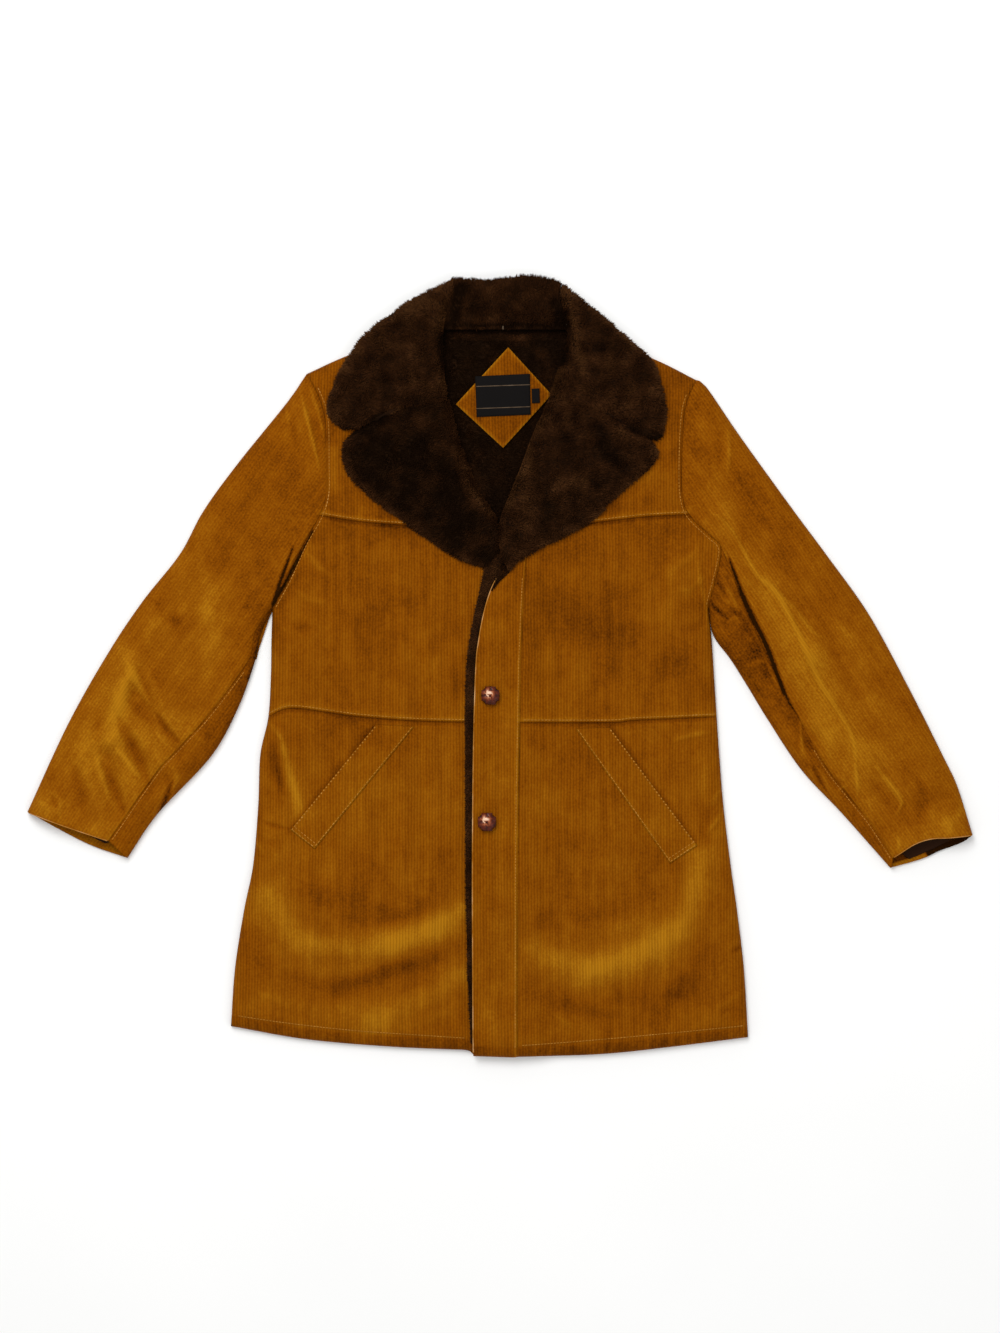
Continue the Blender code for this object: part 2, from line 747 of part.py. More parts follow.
def sleeve(side, armhole, outer, seam, inner, top_lip, low_lip, seam_row, strip_parts):
    along = even(16)
    turn = 1.0 if side == "left" else -1.0
    hole = beside(pairs(armhole), -turn * ARMHOLE_GAP)
    outer_edge = sample(pairs(outer), along)
    inner_edge = sample(pairs(inner), along)
    cap = split(hole[: seam_row + 1], 2)
    seam_edge = sample(beside(pairs(seam), -turn * ARMHOLE_GAP), along)
    grid = patch(outer_edge, seam_edge, cap, sample(pairs(top_lip), dense_both(len(cap))))
    for i in range(1, len(grid) - 1):
        grid[i] = eased_row(grid[i])
        weight = smooth(i / 4.0)
        shares = lengths(grid[i])
        target = [a + (b - a) * weight for a, b in zip(shares, dense_both(len(shares)))]
        grid[i] = sample(grid[i], target)
    shell_panel("topsleeve_" + side, grid, base_height)

    lip = sample(pairs(low_lip), lengths(hole))
    under = inset(patch(outer_edge, inner_edge, hole, lip))
    seam_edge = sample(beside(pairs(seam), turn * ARMHOLE_GAP), along)
    start = split(list(reversed(hole[seam_row:])), strip_parts)
    end = sample([inner_edge[-1], seam_edge[-1]], lengths(start))
    strip = patch(inner_edge, seam_edge, start, end)
    strip[0] = [step_towards(a, b, SEAM_GAP / 2) for a, b in zip(strip[0], strip[1])]
    outside = []
    inside = []
    for line, top_line in zip(under, strip):
        low, low_in = folded_section(line, top_line)
        outside.append(low)
        inside.append(low_in)
    wall("undersleeve_" + side, CORDUROY, outside, inside)


def eased_row(line):
    result = []
    straight = sample([line[0], line[-1]], lengths(line))
    for j, (point, target) in enumerate(zip(line, straight)):
        share = smooth((j / (len(line) - 1) - 0.55) / 0.25)
        result.append((point[0] + (target[0] - point[0]) * share, point[1] + (target[1] - point[1]) * share))
    return result


def folded_section(line, top_line):
    edge = top_line[0]
    deep = step_towards(edge, top_line[-1], SHELL)
    soft = step_towards(edge, line[-2], 0.8)
    outside = [(x, y, 0.0) for x, y in line[:-1]]
    inside = [(x, y, SHELL) for x, y in line[:-1]]
    outside += [(soft[0], soft[1], 0.0), (edge[0], edge[1], 0.5 * EDGE_TOP)]
    inside += [(deep[0], deep[1], SHELL), (deep[0], deep[1], SHELL + 0.15)]
    for k, (x, y) in enumerate(top_line[1:]):
        top = base_height(x, y)
        outside.append((x, y, top))
        reach = math.hypot(x - edge[0], y - edge[1])
        point = (x, y) if reach > SHELL + 0.3 * (k + 1) else step_towards(deep, top_line[-1], 0.1 * (k + 1))
        inside.append((point[0], point[1], max(top - SHELL, SHELL + 0.3 + 0.05 * k)))
    return outside, inside


def sleeve_lining(side, table, reach):
    outside = []
    inside = []
    last = len(table) - 1
    for i, row in enumerate(table):
        ends = [(row.out_x, row.out_y), (row.in_x, row.in_y)]
        line = sample(ends, [0.0, 0.06, 0.25, 0.5, 0.75, 0.94, 1.0])
        deep = sample(ends, [0.03, 0.08, 0.25, 0.5, 0.75, 0.92, 0.97])
        move = (0.0, 0.0)
        if i == last:
            before = table[i - 1]
            length = math.hypot(row.out_x - before.out_x, row.out_y - before.out_y)
            move = ((row.out_x - before.out_x) / length * reach, (row.out_y - before.out_y) / length * reach)
        shape = [0.75, 0.92, 1.0, 1.0, 1.0, 0.92, 0.75]
        low = BACK_LINING_LOW
        thick = SLEEVE_LINING
        ring = [(x + move[0], y + move[1], low) for x, y in line]
        roof = [(x, y, low + (row.top - low) * part) for (x, y), part in zip(line, shape)]
        hollow = [(x + move[0], y + move[1], low + thick) for x, y in deep]
        floor = low + thick + 0.3
        heights = [max(floor, low + (row.top - low) * part - thick) for part in shape]
        ceiling = [(x, y, z) for (x, y), z in zip(deep, heights)]
        outside.append(ring + list(reversed(roof)))
        inside.append(hollow + list(reversed(ceiling)))
    wall("sleeve_lining_" + side, LINING, outside, inside, ring=True)


def pile_leaf(name, table, top, thick, round_end):
    fine = []
    for first, second in zip(table, table[1:]):
        for k in range(2):
            t = k / 2
            fine.append([a + (b - a) * t for a, b in zip(first, second)])
    fine.append(list(table[-1]))
    first_line = ((fine[0][0], fine[0][1]), (fine[0][2], fine[0][3]))
    last_line = ((fine[-1][0], fine[-1][1]), (fine[-1][2], fine[-1][3]))
    upper = []
    lower = []
    for row in fine:
        roll = (row[0], row[1])
        edge = (row[2], row[3])
        width = math.hypot(edge[0] - roll[0], edge[1] - roll[1])
        tuck = min(6.0, 0.3 * width)
        near = min(6.5, 0.32 * width)
        shares = [0.0, 0.4 * tuck / width, tuck / width, near / width]
        rest = [near / width + (1.0 - near / width) * s for s in (0.2, 0.42, 0.64, 0.82, 0.92, 0.975, 1.0)]
        over = []
        under = []
        for share in shares + rest:
            x = roll[0] + (edge[0] - roll[0]) * share
            y = roll[1] + (edge[1] - roll[1]) * share
            ground = max(BODY_PLATEAU, top(x, y) if top else BODY_PLATEAU) + 0.6
            floor = row[4] if share <= shares[2] else ground
            floor = max(floor, 0.0) if row[4] < ground else ground
            from_roll = share * width
            from_edge = (1.0 - share) * width
            from_end = distance((x, y), *first_line)
            if round_end:
                from_end = min(from_end, distance((x, y), *last_line))
            crown = rounded((from_edge + 0.5) / PILE_ROUND)
            crown = min(crown, rounded((from_end + 2.0) / (0.6 * PILE_ROUND)))
            z = ground + 2.0 + (thick - 2.0) * crown
            lip = rounded((from_roll + 0.6) / PILE_ROUND)
            start = min(row[4], ground) + 2.5
            z = start + (z - start) * lip
            over.append((x, y, z))
            under.append((x, y, floor))
        upper.append(over)
        lower.append(under)
    return wall(name, PILE, upper, lower)


def collar_back():
    along = [0.0, 0.2, 0.42, 0.6, 0.74, 0.85, 0.93, 0.98, 1.0]
    left = sample(pairs(COLLAR_BACK_LEFT), along)
    right = sample(pairs(COLLAR_BACK_RIGHT), along)
    low = sample([left[0], right[0]], even(9))
    high = sample(pairs(COLLAR_TOP), even(9))
    grid = patch(left, right, low, high)
    upper = []
    lower = []
    for line, share in zip(grid, along):
        rise = smooth(share / 0.62)
        base = FALL_NECK_TOP + 0.9 + (FALL_TOP - FALL_NECK_TOP) * min(1.0, share / 0.42)
        base = min(base, FALL_TOP + 0.9)
        length = math.hypot(line[0][0] - high[0][0], 56.0)
        crown = rounded(((1.0 - share) * length + 0.5) / PILE_ROUND)
        top = base + 2.5 + (2.5 + 5.5 * rise) * crown
        lower.append([(x, y, base) for x, y in line])
        upper.append([(x, y, top) for x, y in line])
    wall("collar_back", PILE, upper, lower)


def collar_fall():
    upper = []
    lower = []
    for first, second in zip(COLLAR_FALL, COLLAR_FALL[1:]):
        for k in range(2):
            row = [a + (b - a) * k / 2 for a, b in zip(first, second)]
            fall_row(row, upper, lower)
    fall_row(list(COLLAR_FALL[-1]), upper, lower)
    wall("collar_fall", PILE, upper, lower)


def fall_row(row, upper, lower):
    line = sample([(row[0], row[1]), (row[2], row[3])], [0.0, 0.25, 0.5, 0.8, 1.0])
    shares = [0.0, 0.5, 1.0, 1.0, 0.8]
    upper.append([(x, y, row[4] + (FALL_TOP - row[4]) * min(1.0, s)) for (x, y), s in zip(line, shares)])
    lower.append([(x, y, 0.0) for x, y in line])


def welts():
    for row in WELTS:
        top = left_top if row.name == "welt_left" else right_top
        outer = sample([(row.top_out_x, row.top_out_y), (row.low_out_x, row.low_out_y)], even(10))
        inner = sample([(row.top_in_x, row.top_in_y), (row.low_in_x, row.low_in_y)], even(10))
        grid = [sample([a, b], even(5)) for a, b in zip(outer, inner)]
        upper = lifted(grid, lambda x, y: top(x, y) + 0.6 + WELT_THICK)
        lower = lifted(grid, lambda x, y: top(x, y) + 0.6)
        wall(row.name, CORDUROY, upper, lower)


def buttons():
    profile = rows(
        "reach height",
        (0.22, 0.0),
        (0.30, 0.22),
        (0.90, 0.30),
        (1.00, 0.48),
        (0.90, 0.72),
        (0.62, 0.92),
        (0.28, 1.0),
    )
    for row in BUTTONS:
        seat = right_top(row.x, row.y) + 0.4
        bm = bmesh.new()
        loops = []
        for ring in profile:
            loop = []
            for k in range(BUTTON_STEPS):
                turn = 2.0 * math.pi * k / BUTTON_STEPS
                x = row.x + BUTTON_RADIUS * ring.reach * math.cos(turn)
                y = row.y + BUTTON_RADIUS * ring.reach * math.sin(turn)
                loop.append(bm.verts.new((x * MM, y * MM, (seat + BUTTON_HEIGHT * ring.height) * MM)))
            loops.append(loop)
        for low, high in zip(loops, loops[1:]):
            for k in range(BUTTON_STEPS):
                n = (k + 1) % BUTTON_STEPS
                bm.faces.new((low[k], low[n], high[n], high[k]))
        bm.faces.new(loops[0])
        bm.faces.new(loops[-1])
        make_node(row.name, LEATHER, bm)


back()
fronts()
placket()
facing()
front_lining("front_lining_left", FRONT_LINING_LEFT, lambda x, y: 0.0)
front_lining("front_lining_right", FRONT_LINING_RIGHT, overlap_rise)
sleeve("left", ARMHOLE_LEFT, OUTER_LEFT, SEAM_LEFT, INNER_LEFT, TOP_LIP_LEFT, LOW_LIP_LEFT, 8, 4)
sleeve("right", ARMHOLE_RIGHT, OUTER_RIGHT, SEAM_RIGHT, INNER_RIGHT, TOP_LIP_RIGHT, LOW_LIP_RIGHT, 7, 2)
sleeve_lining("left", SLEEVE_TUBE_LEFT, 14.0)
sleeve_lining("right", SLEEVE_TUBE_RIGHT, 20.0)
welts()
pile_leaf("lapel_left", LAPEL_LEFT, None, PILE_THICK, True)
pile_leaf("lapel_right", LAPEL_RIGHT, right_top, PILE_THICK, True)
pile_leaf("collar_left", COLLAR_LEFT, None, PILE_THICK + 1.5, False)
pile_leaf("collar_right", COLLAR_RIGHT, None, PILE_THICK + 1.5, False)
collar_back()
collar_fall()
plate("neck_patch", CORDUROY, pairs(NECK_PATCH), BACK_LINING_TOP + 0.3, BACK_LINING_TOP + 1.6)
plate("neck_label", WOVEN, pairs(LABEL), BACK_LINING_TOP + 1.9, BACK_LINING_TOP + 2.7)
plate("size_tab", WOVEN, pairs(SIZE_TAB), BACK_LINING_TOP + 1.9, BACK_LINING_TOP + 2.6)
buttons()
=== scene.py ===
import math

import bmesh
import bpy
import numpy as np
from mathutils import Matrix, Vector, noise


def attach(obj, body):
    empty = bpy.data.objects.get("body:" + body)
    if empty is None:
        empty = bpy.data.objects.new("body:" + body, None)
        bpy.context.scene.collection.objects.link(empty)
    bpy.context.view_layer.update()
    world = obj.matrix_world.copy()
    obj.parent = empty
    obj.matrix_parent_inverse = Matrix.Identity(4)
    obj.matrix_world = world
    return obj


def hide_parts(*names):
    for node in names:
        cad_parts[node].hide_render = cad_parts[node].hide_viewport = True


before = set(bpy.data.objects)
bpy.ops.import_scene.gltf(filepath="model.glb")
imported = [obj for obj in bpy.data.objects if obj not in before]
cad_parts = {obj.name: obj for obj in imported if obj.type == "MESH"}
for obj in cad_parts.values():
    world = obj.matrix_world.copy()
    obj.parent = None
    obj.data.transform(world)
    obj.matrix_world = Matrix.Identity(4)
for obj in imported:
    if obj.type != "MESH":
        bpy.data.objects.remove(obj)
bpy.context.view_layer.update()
mm = 0.001

# the cut of the jacket as it lies, in mm: x across the chest, y from hem to neck
bodyCut = {
    "sideLeft": [(-273.6, 70.2), (-274.8, 30), (-275.4, -10), (-278.4, -60.6), (-288, -106), (-290.4, -167),
                 (-296.4, -238), (-307.2, -292), (-318, -362), (-322.8, -431.4)],
    "sideRight": [(250.8, 70.2), (254.6, 30), (257.2, -10), (260.4, -60.6), (263.4, -106), (268.3, -167),
                  (276.8, -238), (284.4, -292), (292.6, -362), (297.6, -444.6)],
    "hemLeft": [(-322.8, -431.4), (-233, -447), (-130, -456), (-38, -460), (22, -462)],
    "hemRight": [(297.6, -444.6), (202, -456.6), (119, -465), (21, -468)],
    "shoulderLeft": [(-232.8, 352.2), (-182.4, 375), (-92, 409)],
    "shoulderRight": [(236, 345), (186, 370), (98, 405)],
    "armholeLeft": [(-232.8, 352.2), (-218.4, 325.8), (-210, 297), (-208.6, 244.2), (-208.8, 208.2),
                    (-216.6, 181), (-235.2, 147), (-255.6, 102.6), (-269.1, 78.3), (-273.6, 70.2)],
    "armholeRight": [(236, 345), (226, 322), (220.8, 297), (218.4, 244.2), (219.6, 205), (227, 182),
                     (249.6, 159), (265.2, 143.4), (262.8, 119.4), (253.2, 82.2), (250.8, 70.2)],
    "neckLeft": [(-92, 409), (-80, 391), (-74, 327), (-60.5, 266), (-38.5, 209), (-18, 165)],
    "neckRight": [(98, 405), (92, 391), (80, 342), (54, 287), (31, 222), (12, 166)],
    "yokeLeft": [(-216.6, 181), (-168, 173.4), (-105.6, 168.6), (-18, 165)],
    "yokeRight": [(227, 182), (177.6, 179.4), (144, 175.8), (109.2, 172.2), (12, 166)],
    "waistLeft": [(-278.4, -60.6), (-259.2, -52), (-240, -51), (-205.2, -55.8), (-170.4, -60.6),
                  (-109.2, -65.4), (-43.2, -67.3), (22, -67.5)],
    "waistRight": [(260.4, -60.6), (210, -63), (157, -65.4), (132, -67.8), (24, -67.8)],
    "chestCentreLeft": [(-18, 165), (-4, 140), (4, 118), (22, 60), (22, -67.5)],
    "chestCentreRight": [(12, 166), (22, 140), (30.4, 126), (29.4, 110), (25.6, 21), (24, -67.8)],
    "skirtCentreLeft": [(22, -67.5), (22, -462)],
    "skirtCentreRight": [(24, -67.8), (21.6, -218), (21, -468)],
    "placketSeam": [(30.4, 118), (26, 21), (24, -67.8), (21.6, -218), (21, -468)],
    "frontEdge": [(13, 140), (2.4, 116), (-10, 94), (-19.3, 64), (-25.5, 31), (-28.6, 4), (-31, -64),
                  (-32.4, -150), (-33, -256), (-32.6, -360), (-32, -467)],
    "placketInside": [(31.8, 142), (30.4, 118), (26, 21), (24, -67.8), (21.6, -218), (21, -468)],
    "placketHem": [(-32, -467), (16, -468.6), (21, -468)],
}
sleeveCut = {
    "outerLeft": [(-232.8, 352.2), (-256.8, 317.4), (-315.6, 244.2), (-356.4, 187.8), (-385.2, 135),
                  (-429.6, 78.6), (-470.4, 17.4), (-518.4, -67.8), (-567.6, -174.6)],
    "seamLeft": [(-269.1, 78.3), (-293, 42), (-300, 10), (-322, -23.4), (-356.4, -67.8), (-405.6, -120.6),
                 (-434.4, -160.2), (-468, -209.4)],
    "innerLeft": [(-273.6, 70.2), (-287.5, 41.4), (-295.2, 5.4), (-315.6, -51), (-348, -108.6),
                  (-411.6, -177), (-447.6, -229.8)],
    "topLipLeft": [(-567.6, -174.6), (-520, -192), (-468, -209.4)],
    "lowLipLeft": [(-567.6, -176.5), (-524.4, -199.5), (-489.6, -216), (-447.6, -229.8)],
    "outerRight": [(236, 345), (248, 337), (289.2, 276.6), (350.4, 191.4), (394.8, 131.4), (444, 61.8),
                   (492, -27), (532.8, -108.6), (549.6, -144.6), (567.6, -202.5)],
    "seamRight": [(265.2, 143.4), (302.4, 54.6), (330, -6.6), (358.8, -63), (390, -119.4), (417.6, -155.4),
                  (444, -189), (470.4, -229.8)],
    "innerRight": [(250.8, 70.2), (256.5, 37.8), (277.2, 9), (297.6, -23.4), (321.6, -63), (362.4, -124.2),
                   (411.6, -177), (469, -241.8)],
    "topLipRight": [(567.6, -202.5), (538.8, -205.4), (517.2, -206.5), (496.3, -213), (470.4, -229.8)],
    "lowLipRight": [(567.6, -204.5), (555.2, -213), (528, -222.5), (507, -231.7), (469, -241.8)],
}
layers = {
    "edgeTop": 4.5, "bodyTop": 15.0, "sleeveTop": 17.0, "bodyRoll": 26.0, "sleeveRoll": 30.0,
    "overlapEdge": 3.2, "overlapStep": 7.5, "overlapReach": 28.0, "overlapFade": 45.0,
    "overlapTop": 176.0, "overlapRun": 60.0, "sleeveBlend": 80.0, "deepestFold": 4.8,
    "clothThick": 2.0, "gridStep": 3.0,
}


def smoothCurve(points, step=5.0):
    # Catmull-Rom through the points of the cut, dense enough to draw
    pts = np.array(points, float)
    if len(pts) == 2:
        return pts
    ends = np.vstack([2 * pts[0] - pts[1], pts, 2 * pts[-1] - pts[-2]])
    out = [pts[0]]
    for i in range(len(pts) - 1):
        a, b, c, d = ends[i:i + 4]
        count = max(2, int(np.linalg.norm(c - b) / step))
        t = (np.arange(1, count + 1) / count)[:, None]
        square, cube = 2 * a - 5 * b + 4 * c - d, 3 * b - a - 3 * c + d
        out.extend(0.5 * (2 * b + (c - a) * t + square * t ** 2 + cube * t ** 3))
    return np.array(out)


def arcShares(curve):
    steps = np.linalg.norm(np.diff(curve, axis=0), axis=1)
    total = np.concatenate([[0.0], np.cumsum(steps)])
    return total / total[-1], total[-1]


def pointsAt(curve, shares):
    own, _ = arcShares(curve)
    return np.stack([np.interp(shares, own, curve[:, k]) for k in range(2)], axis=-1)


def lengthOf(curve):
    return arcShares(curve)[1]


def reachTo(xy, curve):
    flat = xy.reshape(-1, 2)
    best = np.full(len(flat), 1e9)
    for a, b in zip(curve[:-1], curve[1:]):
        d = b - a
        size = float(d @ d) or 1e-9
        t = np.clip(((flat - a) @ d) / size, 0.0, 1.0)
        gap = flat - a - t[:, None] * d
        best = np.minimum(best, gap[:, 0] ** 2 + gap[:, 1] ** 2)
    return np.sqrt(best).reshape(xy.shape[:-1])


def nearest(flat, curve):
    # how far from the curve and how far along it
    best = np.full(len(flat), 1e9)
    place = np.zeros(len(flat))
    for k, (a, b) in enumerate(zip(curve[:-1], curve[1:])):
        d = b - a
        t = np.clip(((flat - a) @ d) / (float(d @ d) or 1e-9), 0.0, 1.0)
        gap = flat - a - t[:, None] * d
        size = gap[:, 0] ** 2 + gap[:, 1] ** 2
        place = np.where(size < best, k + t, place)
        best = np.minimum(best, size)
    return np.sqrt(best), place / (len(curve) - 1)


def ease(value):
    value = np.clip(value, 0.0, 1.0)
    return value * value * (3.0 - 2.0 * value)


def roundEdge(share):
    return np.sqrt(1.0 - (1.0 - np.clip(share, 0.0, 1.0)) ** 2)


curves = {name: smoothCurve(points) for name, points in {**bodyCut, **sleeveCut}.items()}
outerNames = ("shoulderLeft", "outerLeft", "innerLeft", "sideLeft", "sideRight", "innerRight", "outerRight",
              "shoulderRight", "hemRight", "placketHem")
outline = [curves[name] for name in outerNames]
hemShown = 0.835   # the rest of the left hem lies under the placket
outline.append(pointsAt(curves["hemLeft"], np.linspace(0.0, hemShown, 40)))
print("cut curves:", len(curves))

# folds and creases: x y of each point, half width, height in mm
bigFolds = [
    (262, 176, 318, 99, 370, 12, 22, 5.0), (370, 12, 412, -68, 440, -110, 20, 4.5),
    (290, 84, 330, -6.6, 372, -88, 11, -4.6), (372, -88, 400, -133, 430, -172, 10, -3.2),
    (452, -150, 490, -172, 530, -160, 12, -1.8), (-246, 322, -232, 280, -224, 232, 16, 3.5),
    (-440, 4, -452, -30, -466, -88, 15, 4.5), (-436, -34, -416, -66, -392, -98, 11, -4.5),
    (-440, -98, -430, -118, -420, -140, 11, -4.0), (-474, -108, -464, -140, -456, -172, 11, -3.5),
    (-500, -110, -486, -150, -478, -176, 14, 3.0), (-282, -276, -236, -330, -130, -332, 26, 3.5),
    (-130, -332, -90, -318, -50, -292, 24, 3.0), (-226, -386, -150, -384, -70, -352, 22, -1.6),
    (-170, -420, -110, -404, -50, -372, 20, 2.4), (240, -244, 206, -322, 119, -362, 26, 3.5),
    (119, -362, 90, -366, 60, -352, 24, 2.6), (240, -340, 210, -392, 120, -414, 22, -1.6),
    (-262, -82, -254, -119, -244, -176, 14, 2.6), (-240, 126, -252, 100, -262, 66, 9, -2.2),
    (238, 92, 244, 70, 246, 40, 9, -2.0), (-226, 120, -190, 60, -176, 10, 26, 1.6),
    (224, 120, 190, 60, 180, 10, 26, 1.6), (-552, -172, -516, -190, -478, -202, 20, 3.6),
    (552, -198, 520, -204, 484, -216, 20, 3.6),
]
fineCreases = [
    # left sleeve, from the shoulder to the cuff
    (-241, 334, -229, 288, -216, 236, 3.4, 2.9), (-230, 339, -218, 304, -210, 272, 3, 2.1),
    (-258, 312, -255, 300, -253, 288, 3, 1.7), (-254, 300, -246, 276, -244, 262, 5, -1.0),
    (-223, 167, -243, 128, -262, 92, -273, 72, 2.6, -2.6), (-248, 144, -261, 108, -274, 74, 2.4, -2.4),
    (-342, 156, -322, 116, -300, 96, 16, -1.1), (-410, 66, -420, 40, -424, 16, 12, 1.2),
    (-355, 80, -350, 62, -348, 48, 12, 1.0), (-396, 66, -391, 57, -386, 48, 8, -1.2),
    (-330, 60, -344, 20, -350, -16, 14, 1.2), (-452, 13, -434, -20, -422, -44, 6, 1.9),
    (-434, 2, -426, -20, -417, -42, 5, -1.2), (-443, -6, -452, -34, -460, -63, 8, 2.0),
    (-447, -38, -434, -52, -420, -66, 5, -1.1), (-414, -54, -399, -77, -383, -93, 4, -2.2),
    (-414, -77, -402, -90, -391, -101, 5, 1.9), (-462, -52, -438, -101, -420, -140, 6, -1.6),
    (-460, -98, -447, -113, -431, -134, 5, 2.3), (-478, -112, -464, -142, -449, -178, 5, -1.5),
    (-485, -101, -476, -132, -469, -153, 6, 2.1), (-466, -28, -478, -60, -482, -92, 8, -0.9),
    (-514, -114, -502, -150, -498, -180, 6, -1.0), (-556, -158, -547, -166, -538, -175, 4, 1.4),
    (-525, -156, -527, -168, -528, -180, 4, 1.3), (-541, -152, -534, -162, -530, -172, 4, -1.2),
    (-488, -60, -500, -90, -512, -100, 10, 1.0), (-393, -120, -386, -132, -392, -148, 4, 1.9),
    (-392, -136, -400, -157, -416, -192, 3.2, -3.4), (-402, -128, -397, -138, -398, -146, 4, -1.2),
    (-370, -80, -361, -86, -353, -94, 4, 1.3),
    # right sleeve
    (272, 287, 275, 259, 272, 227, 4, 1.8), (262, 280, 264, 255, 262, 232, 5, -0.9),
    (236, 193, 265, 177, 283, 155, 308, 109, 329, 91, 357, 39, 381, -16, 412, -65, 424, -96, 427, -147,
     3.8, 2.9),
    (325, 94, 349, 73, 373, 43, 394, 31, 3, 2.0), (367, 18, 376, 8, 388, -2, 3, 1.6),
    (422, -112, 427, -134, 428, -156, 4, 2.2), (432, -158, 441, -164, 445, -176, 3, 1.6),
    (402, 60, 414, 40, 436, 30, 4, 0.8), (440, -20, 452, -40, 476, -52, 5, 0.8),
    (276, 250, 300, 200, 326, 160, 14, -1.2),
    (272, 138, 289, 91, 305, 55, 320, 24, 341, -31, 361, -66, 3.0, -3.6),
    (373, -116, 381, -132, 392, -151, 3, -2.3), (360, -60, 361, -83, 363, -110, 3, 2.2),
    (262, 118, 268, 113, 273, 108, 3, 1.5), (266, 84, 274, 77, 281, 71, 3, 1.5),
    (279, 62, 286, 56, 293, 50, 3, 1.6), (291, 39, 298, 34, 305, 30, 3, 1.4),
    (305, 10, 312, 7, 319, 5, 3, 1.4), (319, -20, 325, -25, 331, -29, 3, 1.3),
    (333, -46, 340, -51, 347, -55, 3, 1.2), (266, 101, 272, 96, 278, 91, 2.6, -0.9),
    (275, 72, 281, 66, 287, 61, 2.6, -0.8), (287, 50, 293, 45, 298, 40, 2.6, -0.8),
    (299, 22, 305, 18, 310, 15, 2.6, -0.7), (313, -6, 319, -10, 324, -13, 2.6, -0.7),
    (327, -34, 333, -38, 338, -41, 2.6, -0.6), (380, 60, 408, 10, 430, -40, 12, -1.2),
    (253, 76, 263, 66, 273, 56, 2.6, -2.6), (259, 105, 266, 94, 272, 84, 2.4, -1.6),
    (264, 112, 273, 95, 281, 79, 285, 66, 3, 1.8), (272, 52, 280, 57, 289, 59, 3, 1.8),
    (272, 92, 284, 75, 296, 58, 5, 1.6), (292, -1, 306, 4, 320, 7, 4, 1.6),
    (324, 2, 330, -14, 336, -30, 4, 1.2), (300, -20, 316, -34, 330, -40, 5, -0.8),
    (360, -80, 364, -98, 366, -112, 4, 1.3), (450, -120, 468, -142, 481, -162, 474, -178, 3.6, 2.9),
    (402, -130, 408, -134, 415, -136, 3, 1.4), (404, -150, 409, -146, 415, -142, 3, 1.4),
    (444, -134, 458, -152, 466, -166, 7, -0.8), (530, -170, 538, -184, 540, -198, 5, 1.2),
    (500, -130, 506, -160, 500, -188, 8, -1.1), (382, -126, 396, -146, 414, -164, 6, 1.2),
    # body
    (-232, 138, -216, 118, -196, 106, 5, 1.3), (-250, 96, -232, 82, -206, 76, 5, 1.1),
    (-264, 62, -244, 48, -214, 44, 6, -1.0), (240, 146, 222, 126, 204, 116, 5, 1.3),
    (237, 127, 242, 95, 249, 66, 252, 36, 2.8, 2.8), (246, 108, 228, 94, 208, 88, 5, 1.1),
    (250, 56, 232, 46, 212, 44, 6, -0.9), (-278, -66, -262, -86, -256, -114, 4, 2.3),
    (-256, -114, -245, -148, -237, -171, 5.5, 1.4), (-274, -90, -268, -120, -262, -150, 8, -1.6),
    (-287, -184, -270, -190, -254, -194, 4, -1.5), (-288, -181, -269, -187, -250, -192, 3, 1.4),
    (-294, -208, -289, -215, -283, -223, 3, 1.5), (-290, -198, -276, -203, -262, -205, 4, 0.8),
    (-280, -214, -262, -232, -258, -262, 8, 1.0), (247, -201, 257, -186, 268, -168, 3.6, 2.2),
    (253, -167, 259, -156, 265, -144, 3.6, 1.6), (253, -190, 259, -180, 266, -170, 3, -1.4),
    (203, -93, 221, -84, 255, -78, 4, 1.9), (276, -343, 285, -338, 296, -331, 4, -1.8),
    (256, -412, 274, -400, 296, -385, 6, 1.4), (64, -415, 76, -424, 89, -434, 3, 1.4),
    (254, -96, 244, -130, 246, -170, 8, 0.6), (258, -160, 246, -196, 250, -226, 8, -1.0),
    (-200, -300, -150, -306, -100, -296, 12, -1.0), (-264, -360, -210, -366, -160, -362, 12, 1.0),
    (-110, -430, -70, -416, -44, -398, 9, 1.0), (-290, -390, -250, -404, -220, -408, 10, 0.9),
    (60, -300, 110, -318, 160, -306, 14, 1.1), (90, -400, 150, -410, 210, -398, 12, 1.1),
    (230, -410, 256, -420, 276, -416, 10, 0.9), (-180, 140, -130, 132, -80, 136, 14, 0.8),
    (60, 120, 110, 112, 170, 118, 16, 0.8), (-120, 40, -100, 0, -104, -44, 22, 0.9),
    (90, 60, 100, 10, 94, -40, 22, 0.8), (-60, 20, -52, -20, -56, -56, 14, -0.7),
    (150, 250, 180, 232, 204, 226, 10, 0.9), (-196, 262, -200, 230, -190, 204, 9, 0.9),
]
foldShape = {"fall": 1.4, "pushUp": 0.35, "pushAway": 2.0, "pushWide": 0.9, "endRound": 0.7,
             "creaseTaper": 0.75}
seamNames = ("yokeLeft", "yokeRight", "waistLeft", "waistRight", "placketSeam", "armholeLeft", "armholeRight",
             "seamLeft", "seamRight")


